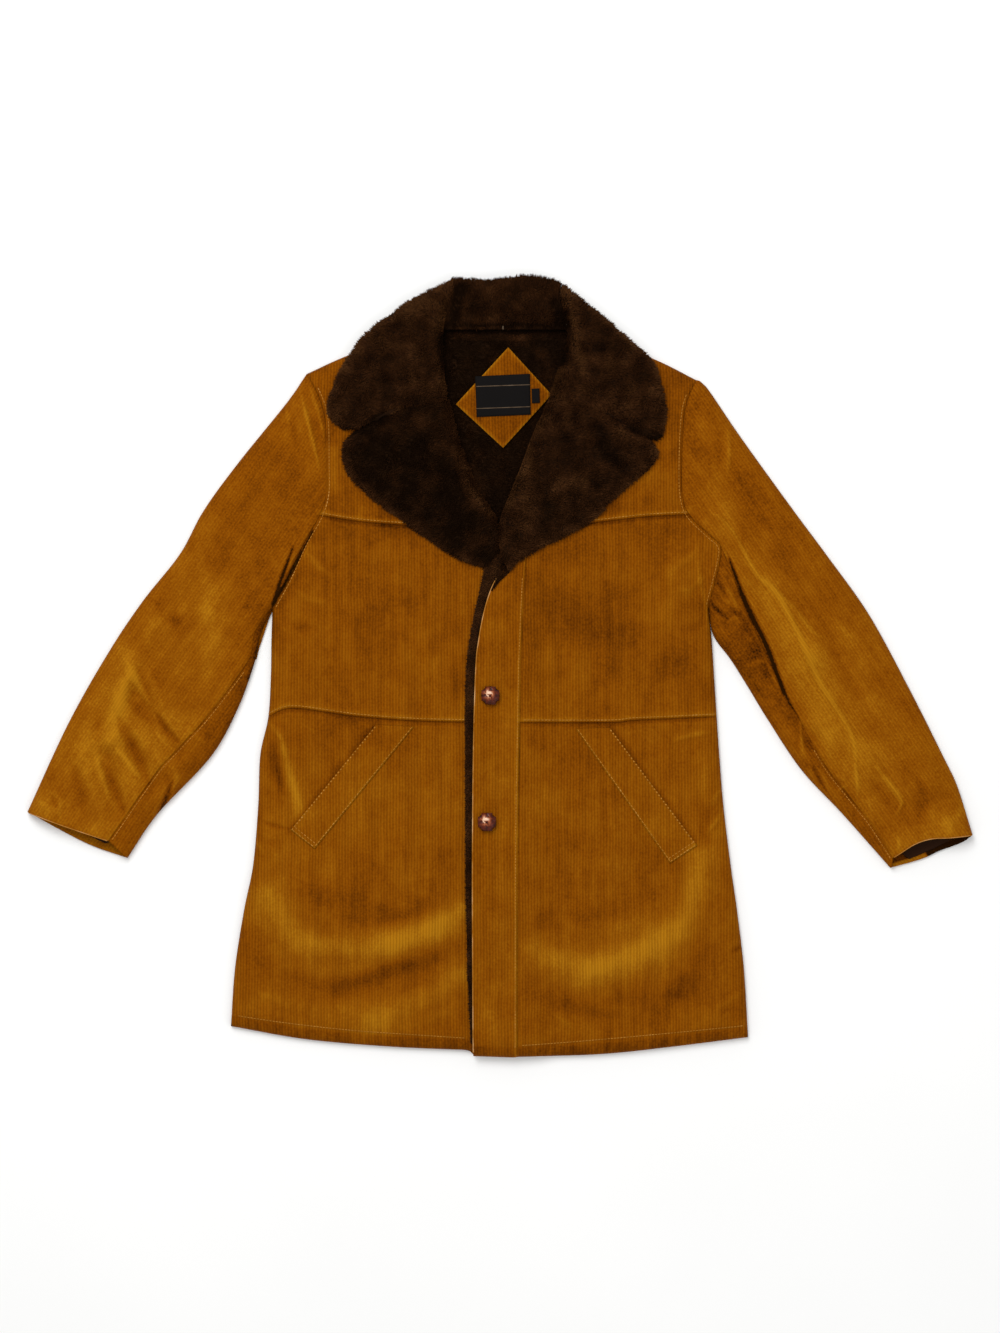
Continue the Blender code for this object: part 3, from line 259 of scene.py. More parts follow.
def foldSum(xy, folds, taper=0.0):
    # taper thins a crease out towards both of its ends
    flat = xy.reshape(-1, 2)
    total = np.zeros(len(flat))
    for *path, half, height in folds:
        curve = smoothCurve(np.array(path, float).reshape(-1, 2), 9.0)
        close = np.all((flat > curve.min(axis=0) - 5 * half) & (flat < curve.max(axis=0) + 5 * half), axis=1)
        if not close.any():
            continue
        away, share = nearest(flat[close], curve)
        body = 1.0 - taper + taper * np.sin(math.pi * share) ** foldShape["endRound"]
        away = away / (half * body)
        lift = height * np.exp(-foldShape["fall"] * away ** 2)
        if height < 0.0:   # cloth pushed up on both sides of a crease
            beyond = (away - foldShape["pushAway"]) / foldShape["pushWide"]
            lift -= foldShape["pushUp"] * height * np.exp(-foldShape["fall"] * beyond ** 2)
        total[close] += lift * body
    return total.reshape(xy.shape[:-1])


def cloudy(xy, size, seed):
    flat = xy.reshape(-1, 2) / size
    values = [noise.noise(Vector((x, y, seed))) for x, y in flat]
    return np.array(values).reshape(xy.shape[:-1])


def clouds(xy, table):
    # height, size and seed of each layer of unevenness
    return sum(high * cloudy(xy, size, seed) for high, size, seed in table)


def bell(away, wide):
    return np.exp(-(away / wide) ** 2)


def sleeveShare(xy):
    left = np.array(bodyCut["armholeLeft"] + bodyCut["sideLeft"][1:])
    right = np.array(bodyCut["armholeRight"] + bodyCut["sideRight"][1:])
    edgeLeft = np.interp(xy[..., 1], left[::-1, 1], -left[::-1, 0])
    edgeRight = np.interp(xy[..., 1], right[::-1, 1], right[::-1, 0])
    edge = np.where(xy[..., 0] < 0.0, edgeLeft, edgeRight)
    return ease((np.abs(xy[..., 0]) - edge) / layers["sleeveBlend"])


seamLook = {
    "dip": 1.1, "dipWide": 1.7, "roll": 0.55, "rollAway": 5.5, "rollWide": 3.0,
    "ridge": 0.7, "ridgeAbove": 3.5, "ridgeWide": 2.7, "step": 0.9, "stepBelow": 1.4, "stepWide": 2.0,
    "placketAt": -36.0,
}
clothUneven = [(0.7, 70.0, 1.3), (0.35, 24.0, 7.9), (0.12, 9.0, 3.1)]


def seamRidge(xy):
    # the seam allowance is pressed up: a ridge above each cross seam, a step down below it
    total = np.zeros(xy.shape[:-1])
    above, below = np.array([0.0, seamLook["ridgeAbove"]]), np.array([0.0, seamLook["stepBelow"]])
    for name in ("yokeLeft", "yokeRight", "waistLeft", "waistRight"):
        ridge = bell(reachTo(xy, curves[name] + above), seamLook["ridgeWide"])
        ridge -= seamLook["step"] * bell(reachTo(xy, curves[name] - below), seamLook["stepWide"])
        if "Left" in name:   # this front's seams end under the other one
            ridge = ridge * (xy[..., 0] < seamLook["placketAt"])
        total += ridge
    return total


def seamDip(xy):
    away = np.full(xy.shape[:-1], 1e9)
    for name in seamNames:
        away = np.minimum(away, reachTo(xy, curves[name]))
    sides = seamLook["roll"] * bell(away - seamLook["rollAway"], seamLook["rollWide"])
    return sides - seamLook["dip"] * bell(away, seamLook["dipWide"]) + seamLook["ridge"] * seamRidge(xy)


def clothHeight(xy, over=False):
    # top face of the cloth in mm; over is the front that lies on the other
    share = sleeveShare(xy)
    edge = np.min([reachTo(xy, path) for path in outline], axis=0)
    roll = roundEdge(edge / (layers["bodyRoll"] + (layers["sleeveRoll"] - layers["bodyRoll"]) * share))
    top = layers["bodyTop"] + (layers["sleeveTop"] - layers["bodyTop"]) * share
    folds = foldSum(xy, bigFolds) + foldSum(xy, fineCreases, foldShape["creaseTaper"])
    folds = folds + clouds(xy, clothUneven) + seamDip(xy)
    folds = np.maximum(folds, -layers["deepestFold"])   # the lining stops the deepest troughs
    height = layers["edgeTop"] + (top - layers["edgeTop"] + folds) * roll
    if over:
        across = 1.0 - ease((xy[..., 0] - layers["overlapReach"]) / layers["overlapFade"])
        along = ease((layers["overlapTop"] - xy[..., 1]) / layers["overlapRun"])
        body = roundEdge(edge / layers["bodyRoll"])
        height = height + across * along * (layers["overlapEdge"]
                                            + (layers["overlapStep"] - layers["overlapEdge"]) * body)
    return height


def hexColor(code):
    parts = [int(code[i:i + 2], 16) / 255.0 for i in (1, 3, 5)]
    return tuple(c / 12.92 if c <= 0.04045 else ((c + 0.055) / 1.055) ** 2.4 for c in parts) + (1.0,)


def addNode(tree, kind, settings=None, links=None):
    node = tree.nodes.new(kind)
    for key, value in (settings or {}).items():
        if key.startswith("in:"):
            name = key[3:]
            node.inputs[int(name) if name.isdigit() else name].default_value = value
        else:
            setattr(node, key, value)
    for name, source in (links or {}).items():
        tree.links.new(source, node.inputs[int(name) if name.isdigit() else name])
    return node


def newMaterial(name):
    material = bpy.data.materials.new(name)
    material.use_nodes = True
    tree = material.node_tree
    return material, tree, tree.nodes["Principled BSDF"]


def ramp(tree, stops, source):
    node = addNode(tree, "ShaderNodeValToRGB", {}, {"Fac": source})
    elements = node.color_ramp.elements
    while len(elements) < len(stops):
        elements.new(0.5)
    for element, (place, color) in zip(elements, stops):
        element.position = place
        element.color = hexColor(color) if isinstance(color, str) else (color, color, color, 1.0)
    return node.outputs["Color"]


def speckle(tree, place, scale, detail, rough=0.5):
    settings = {"in:Scale": scale, "in:Detail": detail, "in:Roughness": rough}
    return addNode(tree, "ShaderNodeTexNoise", settings, {"Vector": place}).outputs["Fac"]


def scaled(tree, source, factor, plus):
    # times a number, plus a number or another socket
    settings, links = {"operation": "MULTIPLY_ADD", "in:1": factor}, {"0": source}
    if isinstance(plus, float):
        settings["in:2"] = plus
    else:
        links["2"] = plus
    return addNode(tree, "ShaderNodeMath", settings, links).outputs[0]


def added(tree, first, second, clamp=False):
    settings = {"operation": "ADD", "use_clamp": clamp}
    return addNode(tree, "ShaderNodeMath", settings, {"0": first, "1": second}).outputs[0]


def relief(tree, shader, height, strength, distance):
    settings = {"in:Strength": strength, "in:Distance": distance}
    bump = addNode(tree, "ShaderNodeBump", settings, {"Height": height})
    tree.links.new(bump.outputs[0], shader.inputs["Normal"])


def surface(shader, rough, shine):
    shader.inputs["Roughness"].default_value = rough
    shader.inputs["Specular IOR Level"].default_value = shine


# cotton corduroy: cut pile in cords; its colour is painted from the nap attribute, with painted highlight on
# ridges and painted shade in creases, and painted shade in the furrows between the cords
def corduroy(name, turn, furrowShade, cordRelief, grain):
    # the real cords are about 3.3 mm apart, drawn a little wider here so that they show at this distance
    look = {"wale": 3.6, "deep": "#241000", "dark": "#582a00", "mid": "#7a4001", "warm": "#874d04",
            "light": "#a0680d", "wear": 0.38, "streak": 0.24, "breaks": 0.9, "fuzzRelief": 0.3}
    material, tree, shader = newMaterial(name)
    place = addNode(tree, "ShaderNodeTexCoord").outputs["Object"]
    turning = {"in:Rotation": (0.0, 0.0, turn)}
    turned = addNode(tree, "ShaderNodeMapping", turning, {"Vector": place}).outputs[0]
    drift = addNode(tree, "ShaderNodeTexNoise", {"in:Scale": 16.0, "in:Detail": 2.0}, {"Vector": turned})
    shift = addNode(tree, "ShaderNodeVectorMath", {"operation": "SCALE", "in:Scale": 0.0035},
                    {"0": drift.outputs["Color"]}).outputs[0]
    bent = addNode(tree, "ShaderNodeVectorMath", {"operation": "ADD"}, {"0": turned, "1": shift}).outputs[0]
    wave = {"wave_type": "BANDS", "bands_direction": "X", "in:Scale": 314.159 / look["wale"],
            "in:Distortion": 0.5, "in:Detail": 1.0, "in:Detail Scale": 2.0}
    cords = addNode(tree, "ShaderNodeTexWave", wave, {"Vector": bent}).outputs["Fac"]
    fuzz = speckle(tree, turned, 420.0, 3.0)
    wear = speckle(tree, turned, 34.0, 5.0, 0.6)
    stretch = {"in:Scale": (150.0, 14.0, 20.0)}
    stretched = addNode(tree, "ShaderNodeMapping", stretch, {"Vector": turned}).outputs[0]
    streaks = speckle(tree, stretched, 1.0, 3.0)
    # nap attribute: painted highlight and shade, mixed below with wear, streaks and fuzz
    mix = addNode(tree, "ShaderNodeAttribute", {"attribute_name": "nap"}).outputs["Fac"]
    for source, amount in ((wear, look["wear"]), (streaks, look["streak"])):
        mix = added(tree, mix, scaled(tree, source, amount, -0.5 * amount))
    mix = added(tree, mix, scaled(tree, fuzz, grain, -0.5 * grain), True)
    tint = ramp(tree, [(0.0, look["deep"]), (0.16, look["dark"]), (0.42, look["mid"]), (0.62, look["warm"]),
                       (0.97, look["light"])], mix)
    broken = added(tree, cords, scaled(tree, streaks, look["breaks"], -0.5 * look["breaks"]))
    # painted shade in the furrows between the cords and a painted highlight on their tops
    cordShading = ramp(tree, [(0.0, furrowShade), (0.5, 0.98), (1.0, 1.13)], broken)
    colour = addNode(tree, "ShaderNodeMix", {"data_type": "RGBA", "blend_type": "MULTIPLY", "in:0": 1.0},
                     {"6": tint, "7": cordShading}).outputs[2]
    tree.links.new(colour, shader.inputs["Base Color"])
    height = scaled(tree, fuzz, look["fuzzRelief"], scaled(tree, cords, cordRelief, 0.0))
    relief(tree, shader, height, 0.45, 0.0009)
    surface(shader, 0.82, 0.02)
    shader.inputs["Sheen Weight"].default_value = 0.14
    shader.inputs["Sheen Roughness"].default_value = 0.4
    shader.inputs["Sheen Tint"].default_value = hexColor("#c87d08")
    return material


# dyed plush pile: matt; painted shade makes it very dark between the tufts and a painted highlight makes the
# tips brown
def plush(name, tips):
    look = {"deep": "#150800", "body": "#321a08", "tip": "#4e3016", "clump": 14.0, "clumpShare": 0.8}
    # the backing under the tufts gets a darker copy of the colours, as painted shade
    if not tips:
        look.update({"deep": "#0c0400", "body": "#190b02", "tip": "#281405"})
    material, tree, shader = newMaterial(name)
    place = addNode(tree, "ShaderNodeTexCoord").outputs["Object"]
    clumps = speckle(tree, place, 1000.0 / look["clump"] * 0.6, 4.0)
    fibres = speckle(tree, place, 520.0, 3.0)
    mix = scaled(tree, fibres, 0.3, clumps)
    if tips:
        tone = addNode(tree, "ShaderNodeAttribute", {"attribute_name": "tone"}).outputs["Fac"]
        mix = scaled(tree, mix, look["clumpShare"], tone)
    stops = [(0.3, look["deep"]), (0.62, look["body"]), (0.95, look["tip"])]
    tree.links.new(ramp(tree, stops, mix), shader.inputs["Base Color"])
    relief(tree, shader, fibres, 0.5, 0.0012)
    surface(shader, 0.85, 0.05)
    shader.inputs["Sheen Weight"].default_value = 0.05
    shader.inputs["Sheen Tint"].default_value = hexColor("#7a4a20")
    return material


# acetate twill lining: smooth, dark, a soft shine along its fine diagonal weave
def twillLining():
    material, tree, shader = newMaterial("acetate twill lining")
    place = addNode(tree, "ShaderNodeTexCoord").outputs["Object"]
    slant = {"in:Rotation": (0.0, 0.0, 0.785)}
    turned = addNode(tree, "ShaderNodeMapping", slant, {"Vector": place}).outputs[0]
    wave = {"in:Scale": 260.0, "in:Distortion": 0.3}
    weave = addNode(tree, "ShaderNodeTexWave", wave, {"Vector": turned}).outputs["Fac"]
    tree.links.new(ramp(tree, [(0.0, "#1c0d04"), (1.0, "#331b0a")], weave), shader.inputs["Base Color"])
    relief(tree, shader, weave, 0.2, 0.0003)
    surface(shader, 0.55, 0.04)
    return material


# corduroy on a folded edge: pale tan tones mottled by noise, a painted highlight along the edge
def edgeHighlight():
    material, tree, shader = newMaterial("corduroy edge with painted highlight")
    worn = speckle(tree, addNode(tree, "ShaderNodeTexCoord").outputs["Object"], 45.0, 4.0)
    tones = ramp(tree, [(0.3, "#8a5210"), (0.5, "#a8702c"), (0.7, "#c89a66")], worn)
    tree.links.new(tones, shader.inputs["Base Color"])
    surface(shader, 0.85, 0.05)
    return material


# spun thread: matt, twisted, a little worn
def sewingThread(name, tones):
    material, tree, shader = newMaterial(name)
    worn = speckle(tree, addNode(tree, "ShaderNodeTexCoord").outputs["Object"], 90.0, 3.0)
    tree.links.new(ramp(tree, list(zip((0.25, 0.6, 0.85), tones)), worn), shader.inputs["Base Color"])
    surface(shader, 0.6, 0.05)
    return material


# plaited leather button: polished red-brown strips, painted shade in the gaps and at the strips' edges, a
# painted highlight on the crown, small scuffs
def plaitedLeather():
    material, tree, shader = newMaterial("polished button leather")
    place = addNode(tree, "ShaderNodeTexCoord").outputs["Object"]
    grain = addNode(tree, "ShaderNodeTexVoronoi", {"in:Scale": 1500.0}, {"Vector": place}).outputs["Distance"]
    buttonPaintedLight = addNode(tree, "ShaderNodeAttribute", {"attribute_name": "buttonPaintedLight"}).outputs["Fac"]
    mix = scaled(tree, speckle(tree, place, 260.0, 4.0), 0.5, buttonPaintedLight)
    tone = ramp(tree, [(0.15, "#230a04"), (0.42, "#5a1f0a"), (0.75, "#98522c"), (1.0, "#e2bb9c")], mix)
    tree.links.new(tone, shader.inputs["Base Color"])
    relief(tree, shader, grain, 0.25, 0.0002)
    surface(shader, 0.24, 0.2)
    return material


# damask tape: near black, fine cross ribs, left bare
def wovenTape():
    material, tree, shader = newMaterial("woven damask tape")
    place = addNode(tree, "ShaderNodeTexCoord").outputs["Object"]
    wave = {"bands_direction": "Y", "in:Scale": 260.0, "in:Distortion": 0.2}
    ribs = addNode(tree, "ShaderNodeTexWave", wave, {"Vector": place}).outputs["Fac"]
    tree.links.new(ramp(tree, [(0.0, "#080707"), (1.0, "#171413")], ribs), shader.inputs["Base Color"])
    relief(tree, shader, ribs, 0.3, 0.0003)
    surface(shader, 0.6, 0.03)
    return material


sleeveTurn = {"left": 0.61, "right": -0.60}   # the cords follow each sleeve's grain
finish = {
    "body": corduroy("cotton corduroy", 0.0, 0.8, 1.0, 0.5),
    "left": corduroy("cotton corduroy left sleeve", sleeveTurn["left"], 0.94, 0.45, 0.7),
    "right": corduroy("cotton corduroy right sleeve", sleeveTurn["right"], 0.94, 0.45, 0.7),
    "pile": plush("dyed plush backing in painted shade", False),
    "tips": plush("dyed plush tips", True),
    "edge": edgeHighlight(),
    "lining": twillLining(),
    "thread": sewingThread("spun polyester thread", ("#8c5814", "#ae7428", "#cc9a50")),
    "tack": sewingThread("undyed tacking thread", ("#3c2e22", "#5a4a3a", "#7a6856")),
    "button": plaitedLeather(),
    "tape": wovenTape(),
}
print("finishes:", len(finish))


# cloth sheets
def patchGrid(left, right, top, bottom, step, counts=None):
    nv = max(4, int(max(lengthOf(left), lengthOf(right)) / step))
    nu = max(4, int(max(lengthOf(top), lengthOf(bottom)) / step))
    nu, nv = counts or (nu, nv)
    u = np.linspace(0.0, 1.0, nu + 1)
    v = np.linspace(0.0, 1.0, nv + 1)
    l, r, t, b = pointsAt(left, v), pointsAt(right, v), pointsAt(top, u), pointsAt(bottom, u)
    uu = u[None, :, None]
    vv = v[:, None, None]
    edges = (1 - vv) * t[None] + vv * b[None] + (1 - uu) * l[:, None] + uu * r[:, None]
    corners = (1 - uu) * (1 - vv) * t[0] + uu * (1 - vv) * t[-1] + (1 - uu) * vv * b[0] + uu * vv * b[-1]
    return edges - corners


paintedLightBands = [
    # painted highlight and shade: a path, its half width and how much lighter or darker it is painted there
    ([(-279, -270), (-262, -298), (-236, -324), (-194, -335), (-149, -338), (-115, -330), (-75, -312),
      (-47, -293)], 17, 0.2),
    ([(-130, -330), (-100, -322), (-70, -308)], 13, 0.14),
    ([(-149, -426), (-103, -403), (-47, -369)], 15, 0.17),
    ([(-217, -270), (-177, -279), (-132, -293), (-89, -284)], 17, -0.14),
    ([(-194, -386), (-132, -364), (-75, -347)], 12, -0.22),
    ([(-302, -340), (-260, -365), (-220, -380)], 22, -0.1),
    ([(240, -232), (214, -312), (119, -362), (40, -342)], 20, 0.22),
    ([(190, -330), (140, -350), (90, -352)], 16, 0.12),
    ([(250, -340), (200, -395), (110, -408), (40, -396)], 16, -0.14),
    ([(170, -270), (120, -300), (60, -296)], 18, -0.1),
    ([(-262, -100), (-252, -136), (-240, -172)], 9, 0.16),
    ([(-272, -96), (-266, -130), (-256, -168)], 9, -0.12),
    ([(-205, -70), (-160, -80), (-130, -110)], 16, -0.08),
    ([(-452, 20), (-462, -40), (-484, -110)], 22, 0.1),
    ([(-225, 162), (-243, 128), (-262, 92), (-272, 74)], 2.4, -0.3),
    ([(-248, 144), (-261, 108), (-273, 74)], 2.2, -0.3), ([(-352, 90), (-350, 50), (-362, 10)], 16, 0.06),
    ([(-438, 60), (-426, 20), (-412, -20)], 14, -0.08), ([(-410, 70), (-392, 56), (-384, 44)], 12, -0.12),
    ([(-310, 200), (-340, 130), (-380, 40)], 24, 0.02),
    ([(-288, 32), (-294, 4), (-301, -14)], 3.0, -0.34),
    ([(-510, -150), (-490, -160), (-470, -176)], 14, -0.12),
    ([(264, 158), (302, 98), (346, 8), (394, -88)], 18, 0.07),
    ([(300, 240), (360, 150), (430, 40)], 20, -0.02), ([(262, 240), (256, 210), (270, 190)], 12, 0.1),
    ([(400, 40), (440, -30), (470, -90)], 16, 0.05),
    ([(275, 128), (289, 91), (305, 55), (320, 24), (341, -31)], 2.6, -0.36),
    ([(284, 60), (322, -20), (370, -110)], 13, -0.1),
    ([(480, -120), (500, -150), (520, -180)], 18, -0.06), ([(533, -186), (537, -197)], 6, 0.2),
    ([(546, -182), (556, -170)], 7, 0.14), ([(476, -206), (478, -219)], 3, 0.2),
    ([(208, 127), (203, 90), (202, 44)], 6, 0.12), ([(150, 240), (180, 225), (205, 215)], 18, 0.12),
    ([(-200, 260), (-205, 220), (-212, 190)], 9, 0.1), ([(-170, 60), (-120, 20), (-60, 0)], 40, -0.06),
    ([(60, 90), (120, 40), (200, 20)], 40, -0.08), ([(60, -140), (110, -180), (160, -200)], 34, 0.04),
    ([(-150, -130), (-110, -180), (-60, -210)], 34, 0.03),
    ([(-10, 80), (-4, -60), (-6, -220), (-6, -440)], 14, 0.05),
]


paintedLightLook = {"middle": 0.46, "bigFold": 0.03, "crease": 0.12, "sleeve": 0.1, "ridge": 0.26}
napFade = [(-430, 0.05), (-150, 0.03), (60, -0.035), (260, -0.125)]   # lighter towards the hem: y and amount
napUneven = [(0.09, 90.0, 5.5), (0.09, 30.0, 2.2), (0.06, 12.0, 8.4)]


def bandSum(xy, bands):
    total = np.zeros(xy.shape[:-1])
    for path, half, amount in bands:
        total += amount * np.exp(-1.2 * (reachTo(xy, smoothCurve(path, 9.0)) / half) ** 2)
    return total


def paintedLightOf(xy, shade):
    # painted highlight and shade for the corduroy's colour: lighter on fold ridges and seam ridges, darker in
    # creases, with painted bands, a fade along y and random unevenness
    value = paintedLightLook["middle"] + shade + paintedLightLook["bigFold"] * foldSum(xy, bigFolds)
    value = value + paintedLightLook["crease"] * foldSum(xy, fineCreases, foldShape["creaseTaper"])
    value = value + paintedLightLook["sleeve"] * sleeveShare(xy) + paintedLightLook["ridge"] * seamRidge(xy)
    value = value + np.interp(xy[..., 1], *zip(*napFade)) + clouds(xy, napUneven)
    return value + bandSum(xy, paintedLightBands)


def gridPiece(name, points, material, thick, nap=None):
    # a bmesh grid pulled to the cut's points (mm), thickened downwards
    rows, cols = points.shape[:2]
    bm = bmesh.new()
    bmesh.ops.create_grid(bm, x_segments=cols - 1, y_segments=rows - 1, size=1.0)
    mesh = bpy.data.meshes.new(name)
    bm.to_mesh(mesh)
    bm.free()
    start = np.empty(len(mesh.vertices) * 3)
    mesh.vertices.foreach_get("co", start)
    start = start.reshape(-1, 3)
    j = np.rint((start[:, 0] + 1.0) * 0.5 * (cols - 1)).astype(int)
    i = np.rint((start[:, 1] + 1.0) * 0.5 * (rows - 1)).astype(int)
    mesh.vertices.foreach_set("co", (points[i, j] * mm).ravel())
    # the nap attribute carries painted highlight and shade for the corduroy's colour
    if nap is not None:
        layer = mesh.attributes.new("nap", "FLOAT", "POINT")
        layer.data.foreach_set("value", nap[i, j].astype(np.float32))
    mesh.update()
    piece = bpy.data.objects.new(name, mesh)
    bpy.context.scene.collection.objects.link(piece)
    mesh.materials.append(material)
    mesh.shade_smooth()
    if thick:
        wall = piece.modifiers.new("cloth thickness", "SOLIDIFY")
        wall.thickness = thick * mm
        wall.offset = -1.0
    return piece


def faceUp(piece):
    # turns the sheet over if it was pulled the wrong way round
    mesh = piece.data
    high = [face.normal.z * face.area for face in mesh.polygons if face.center.z > 0.002]
    if sum(high) < 0.0:
        mesh.flip_normals()
    return piece


def offTheFloor(piece, thick):
    # lifts the few spots where the wall would reach below the surface
    mesh = piece.data
    for again in range(3):
        mesh.update()
        for v in mesh.vertices:
            deep = v.co.z - max(0.0, v.normal.z) * thick * mm
            if deep < 0.0:
                v.co.z -= deep
    mesh.update()
    return piece


def settle(piece, node):
    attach(piece, "root")
    if node:
        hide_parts(*([node] if isinstance(node, str) else node))
    return piece


def lifted(xy, z):
    return np.concatenate([xy, z[..., None]], axis=2)


def cut(name, low=0.0, high=1.0):
    curve = curves[name]
    own, _ = arcShares(curve)
    inner = own[(own > low) & (own < high)]
    return pointsAt(curve, np.concatenate([[low], inner, [high]]))


def shareOf(name, point):
    curve = curves[name]
    own, _ = arcShares(curve)
    return float(own[np.argmin(((curve - np.array(point)) ** 2).sum(axis=1))])


hemLook = {"above": 14.0, "dark": -0.16, "groove": 0.8, "grooveWide": 1.6, "pucker": 0.35, "puckerShading": 0.07,
           "puckerUp": 7.0, "puckerWide": 5.0, "puckerStep": 1.9}
placketLook = {"proud": 0.3, "seamHighlight": 0.22, "coveredAbove": 108.0, "bead": 1.0}
weltMouth = [((-150.5, -71), (-252.5, -197)), ((133.5, -74.5), (238, -215.5))]   # each welt's open edge
mouthShadeLook = {"dark": 0.18, "wide": 3.6}
beadShape = np.array([(-0.7, -0.9), (-0.3, 0.4), (0.3, 0.5), (0.9, -0.2)])   # aside and up, across a fold


def frontPanel(name, node, grid, over):
    z = clothHeight(grid, over)
    nap = paintedLightOf(grid, 0.0)
    ownHem = curves["hemRight" if over else "hemLeft"]
    hem = np.minimum(reachTo(grid, ownHem), reachTo(grid, curves["placketHem"]))
    # painted shade on the strip above the hem
    nap = nap + hemLook["dark"] * (1.0 - ease((hem - hemLook["above"] + 2.0) / 3.0))
    z = z - hemLook["groove"] * bell(hem - hemLook["above"], hemLook["grooveWide"])
    ripple = np.sin(grid[..., 0] / hemLook["puckerStep"] + 5.0 * cloudy(grid, 40.0, 21.0))
    pucker = ripple * bell(hem - hemLook["puckerUp"], hemLook["puckerWide"])
    z = z + hemLook["pucker"] * pucker
    # painted highlight and shade on the puckers' crests and troughs
    nap = nap + hemLook["puckerShading"] * pucker
    if node == "placket":
        z = z + placketLook["proud"]
        nap[:, -2:] += placketLook["seamHighlight"]   # painted highlight along the seam, where the seam allowance lies under it
    # painted shade along each welt's open edge
    for mouth in weltMouth:
        nap = nap - mouthShadeLook["dark"] * bell(reachTo(grid, np.array(mouth, float)), mouthShadeLook["wide"])
    points = lifted(grid, z)
    piece = faceUp(gridPiece(name, points, finish["body"], layers["clothThick"], nap))
    return settle(piece, node)


def edgeBead(name, rows, over, wide):
    # the fold that stands a little proud along an edge, pale as a painted highlight
    way = np.gradient(rows, axis=0)
    way = way / np.linalg.norm(way, axis=1)[:, None]
    out = np.stack([way[:, 1], -way[:, 0]], axis=1)
    grid = rows[:, None] - out[:, None] * wide * beadShape[None, :, :1]
    points = lifted(grid, clothHeight(grid, over) + beadShape[None, :, 1])
    bead = faceUp(gridPiece(name, points, finish["edge"], 0.0))
    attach(bead, "root")
    return bead


step = layers["gridStep"]
for side, over in (("Left", False), ("Right", True)):
    armhole = "armhole" + side
    split = shareOf(armhole, bodyCut["yoke" + side][0])
    waistShare = shareOf("side" + side, bodyCut["waist" + side][0])
    yoke = patchGrid(cut(armhole, 0.0, split), curves["neck" + side], curves["shoulder" + side],
                     curves["yoke" + side], step)
    frontPanel("yoke" + side, "yoke_" + side.lower(), yoke, over)
    chestSide = np.vstack([cut(armhole, split, 1.0), cut("side" + side, 0.0, waistShare)[1:]])
    chest = patchGrid(chestSide, curves["chestCentre" + side], curves["yoke" + side],
                      curves["waist" + side], step)
    frontPanel("chest" + side, "chest_" + side.lower(), chest, over)
    skirt = patchGrid(cut("side" + side, waistShare, 1.0), curves["skirtCentre" + side],
                      curves["waist" + side], curves["hem" + side], step)
    frontPanel("skirt" + side, "skirt_" + side.lower(), skirt, over)
placketTop = np.array([bodyCut["frontEdge"][0], bodyCut["placketInside"][0]], float)
placket = patchGrid(curves["frontEdge"], curves["placketInside"], placketTop, curves["placketHem"], step)
edgeRows = curves["frontEdge"][:-1]
edgeRows = edgeRows[edgeRows[:, 1] < placketLook["coveredAbove"]]   # above that the lapel covers it
edgeRoll = edgeBead("placketEdge", edgeRows, True, placketLook["bead"])
frontPanel("frontPlacket", "placket", placket, True)
print("fronts done")

# the back lies flat on the floor under everything, pressed into shallow creases
underCreases = [
    (-210, 300, -150, 262, -120, 200, 16, 1.0), (190, 310, 150, 250, 130, 190, 18, 0.9),
    (-236, 40, -180, 10, -110, 16, 14, 1.1), (230, 60, 170, 40, 120, 52, 13, 1.0),
    (-250, -120, -160, -150, -60, -140, 20, 1.2), (240, -150, 160, -176, 40, -160, 18, 1.1),
    (-280, -300, -190, -330, -90, -316, 22, 1.2), (260, -320, 170, -350, 70, -338, 20, 1.1),
    (-40, 250, -30, 120, -44, 10, 24, 0.8), (40, -40, 52, -180, 38, -300, 26, 0.8),
    (-150, -210, -110, -260, -120, -320, 15, -1.0), (120, -90, 90, -140, 110, -210, 15, -1.0),
    (-170, 130, -120, 100, -60, 110, 15, -0.9), (70, 200, 130, 150, 190, 130, 14, -0.9),
    (-30, -330, 60, -372, 160, -400, 16, -1.0), (-300, 120, -350, 60, -380, -20, 14, 1.0),
    (-430, 10, -400, -30, -366, -50, 9, 1.2), (-470, -60, -430, -100, -400, -120, 9, 1.2),
    (-452, -30, -420, -66, -384, -90, 8, -1.1), (-520, -120, -490, -140, -450, -150, 10, 1.0),
    (310, 120, 350, 40, 400, -40, 14, 1.0), (330, -20, 370, -40, 410, -30, 9, 1.1),
    (370, -100, 410, -110, 450, -90, 9, 1.1), (350, -60, 390, -76, 430, -60, 8, -1.0),
    (440, -150, 480, -150, 520, -140, 10, 1.0),
]


underLook = {"taper": 0.6, "depth": 0.4, "nap": 0.44, "creaseShading": 0.12}
underUneven = [(0.3, 50.0, 61.0)]
underNapUneven = [(0.1, 80.0, 63.0), (0.08, 26.0, 65.0)]
backLook = {"step": 8.0, "top": 2.05, "wave": 0.4, "thick": 1.5, "hemShown": 0.83,
            "neck": [(-72, 410), (80, 410)]}


def underside(xy, reach):
    folds = foldSum(xy, underCreases, underLook["taper"]) + clouds(xy, underUneven)
    return np.clip(underLook["depth"] * folds, -reach, reach)


# painted highlight and shade on the creases, with random unevenness
def underShading(xy, shade):
    creases = underLook["creaseShading"] * foldSum(xy, underCreases, underLook["taper"])
    return underLook["nap"] + shade + creases + clouds(xy, underNapUneven)


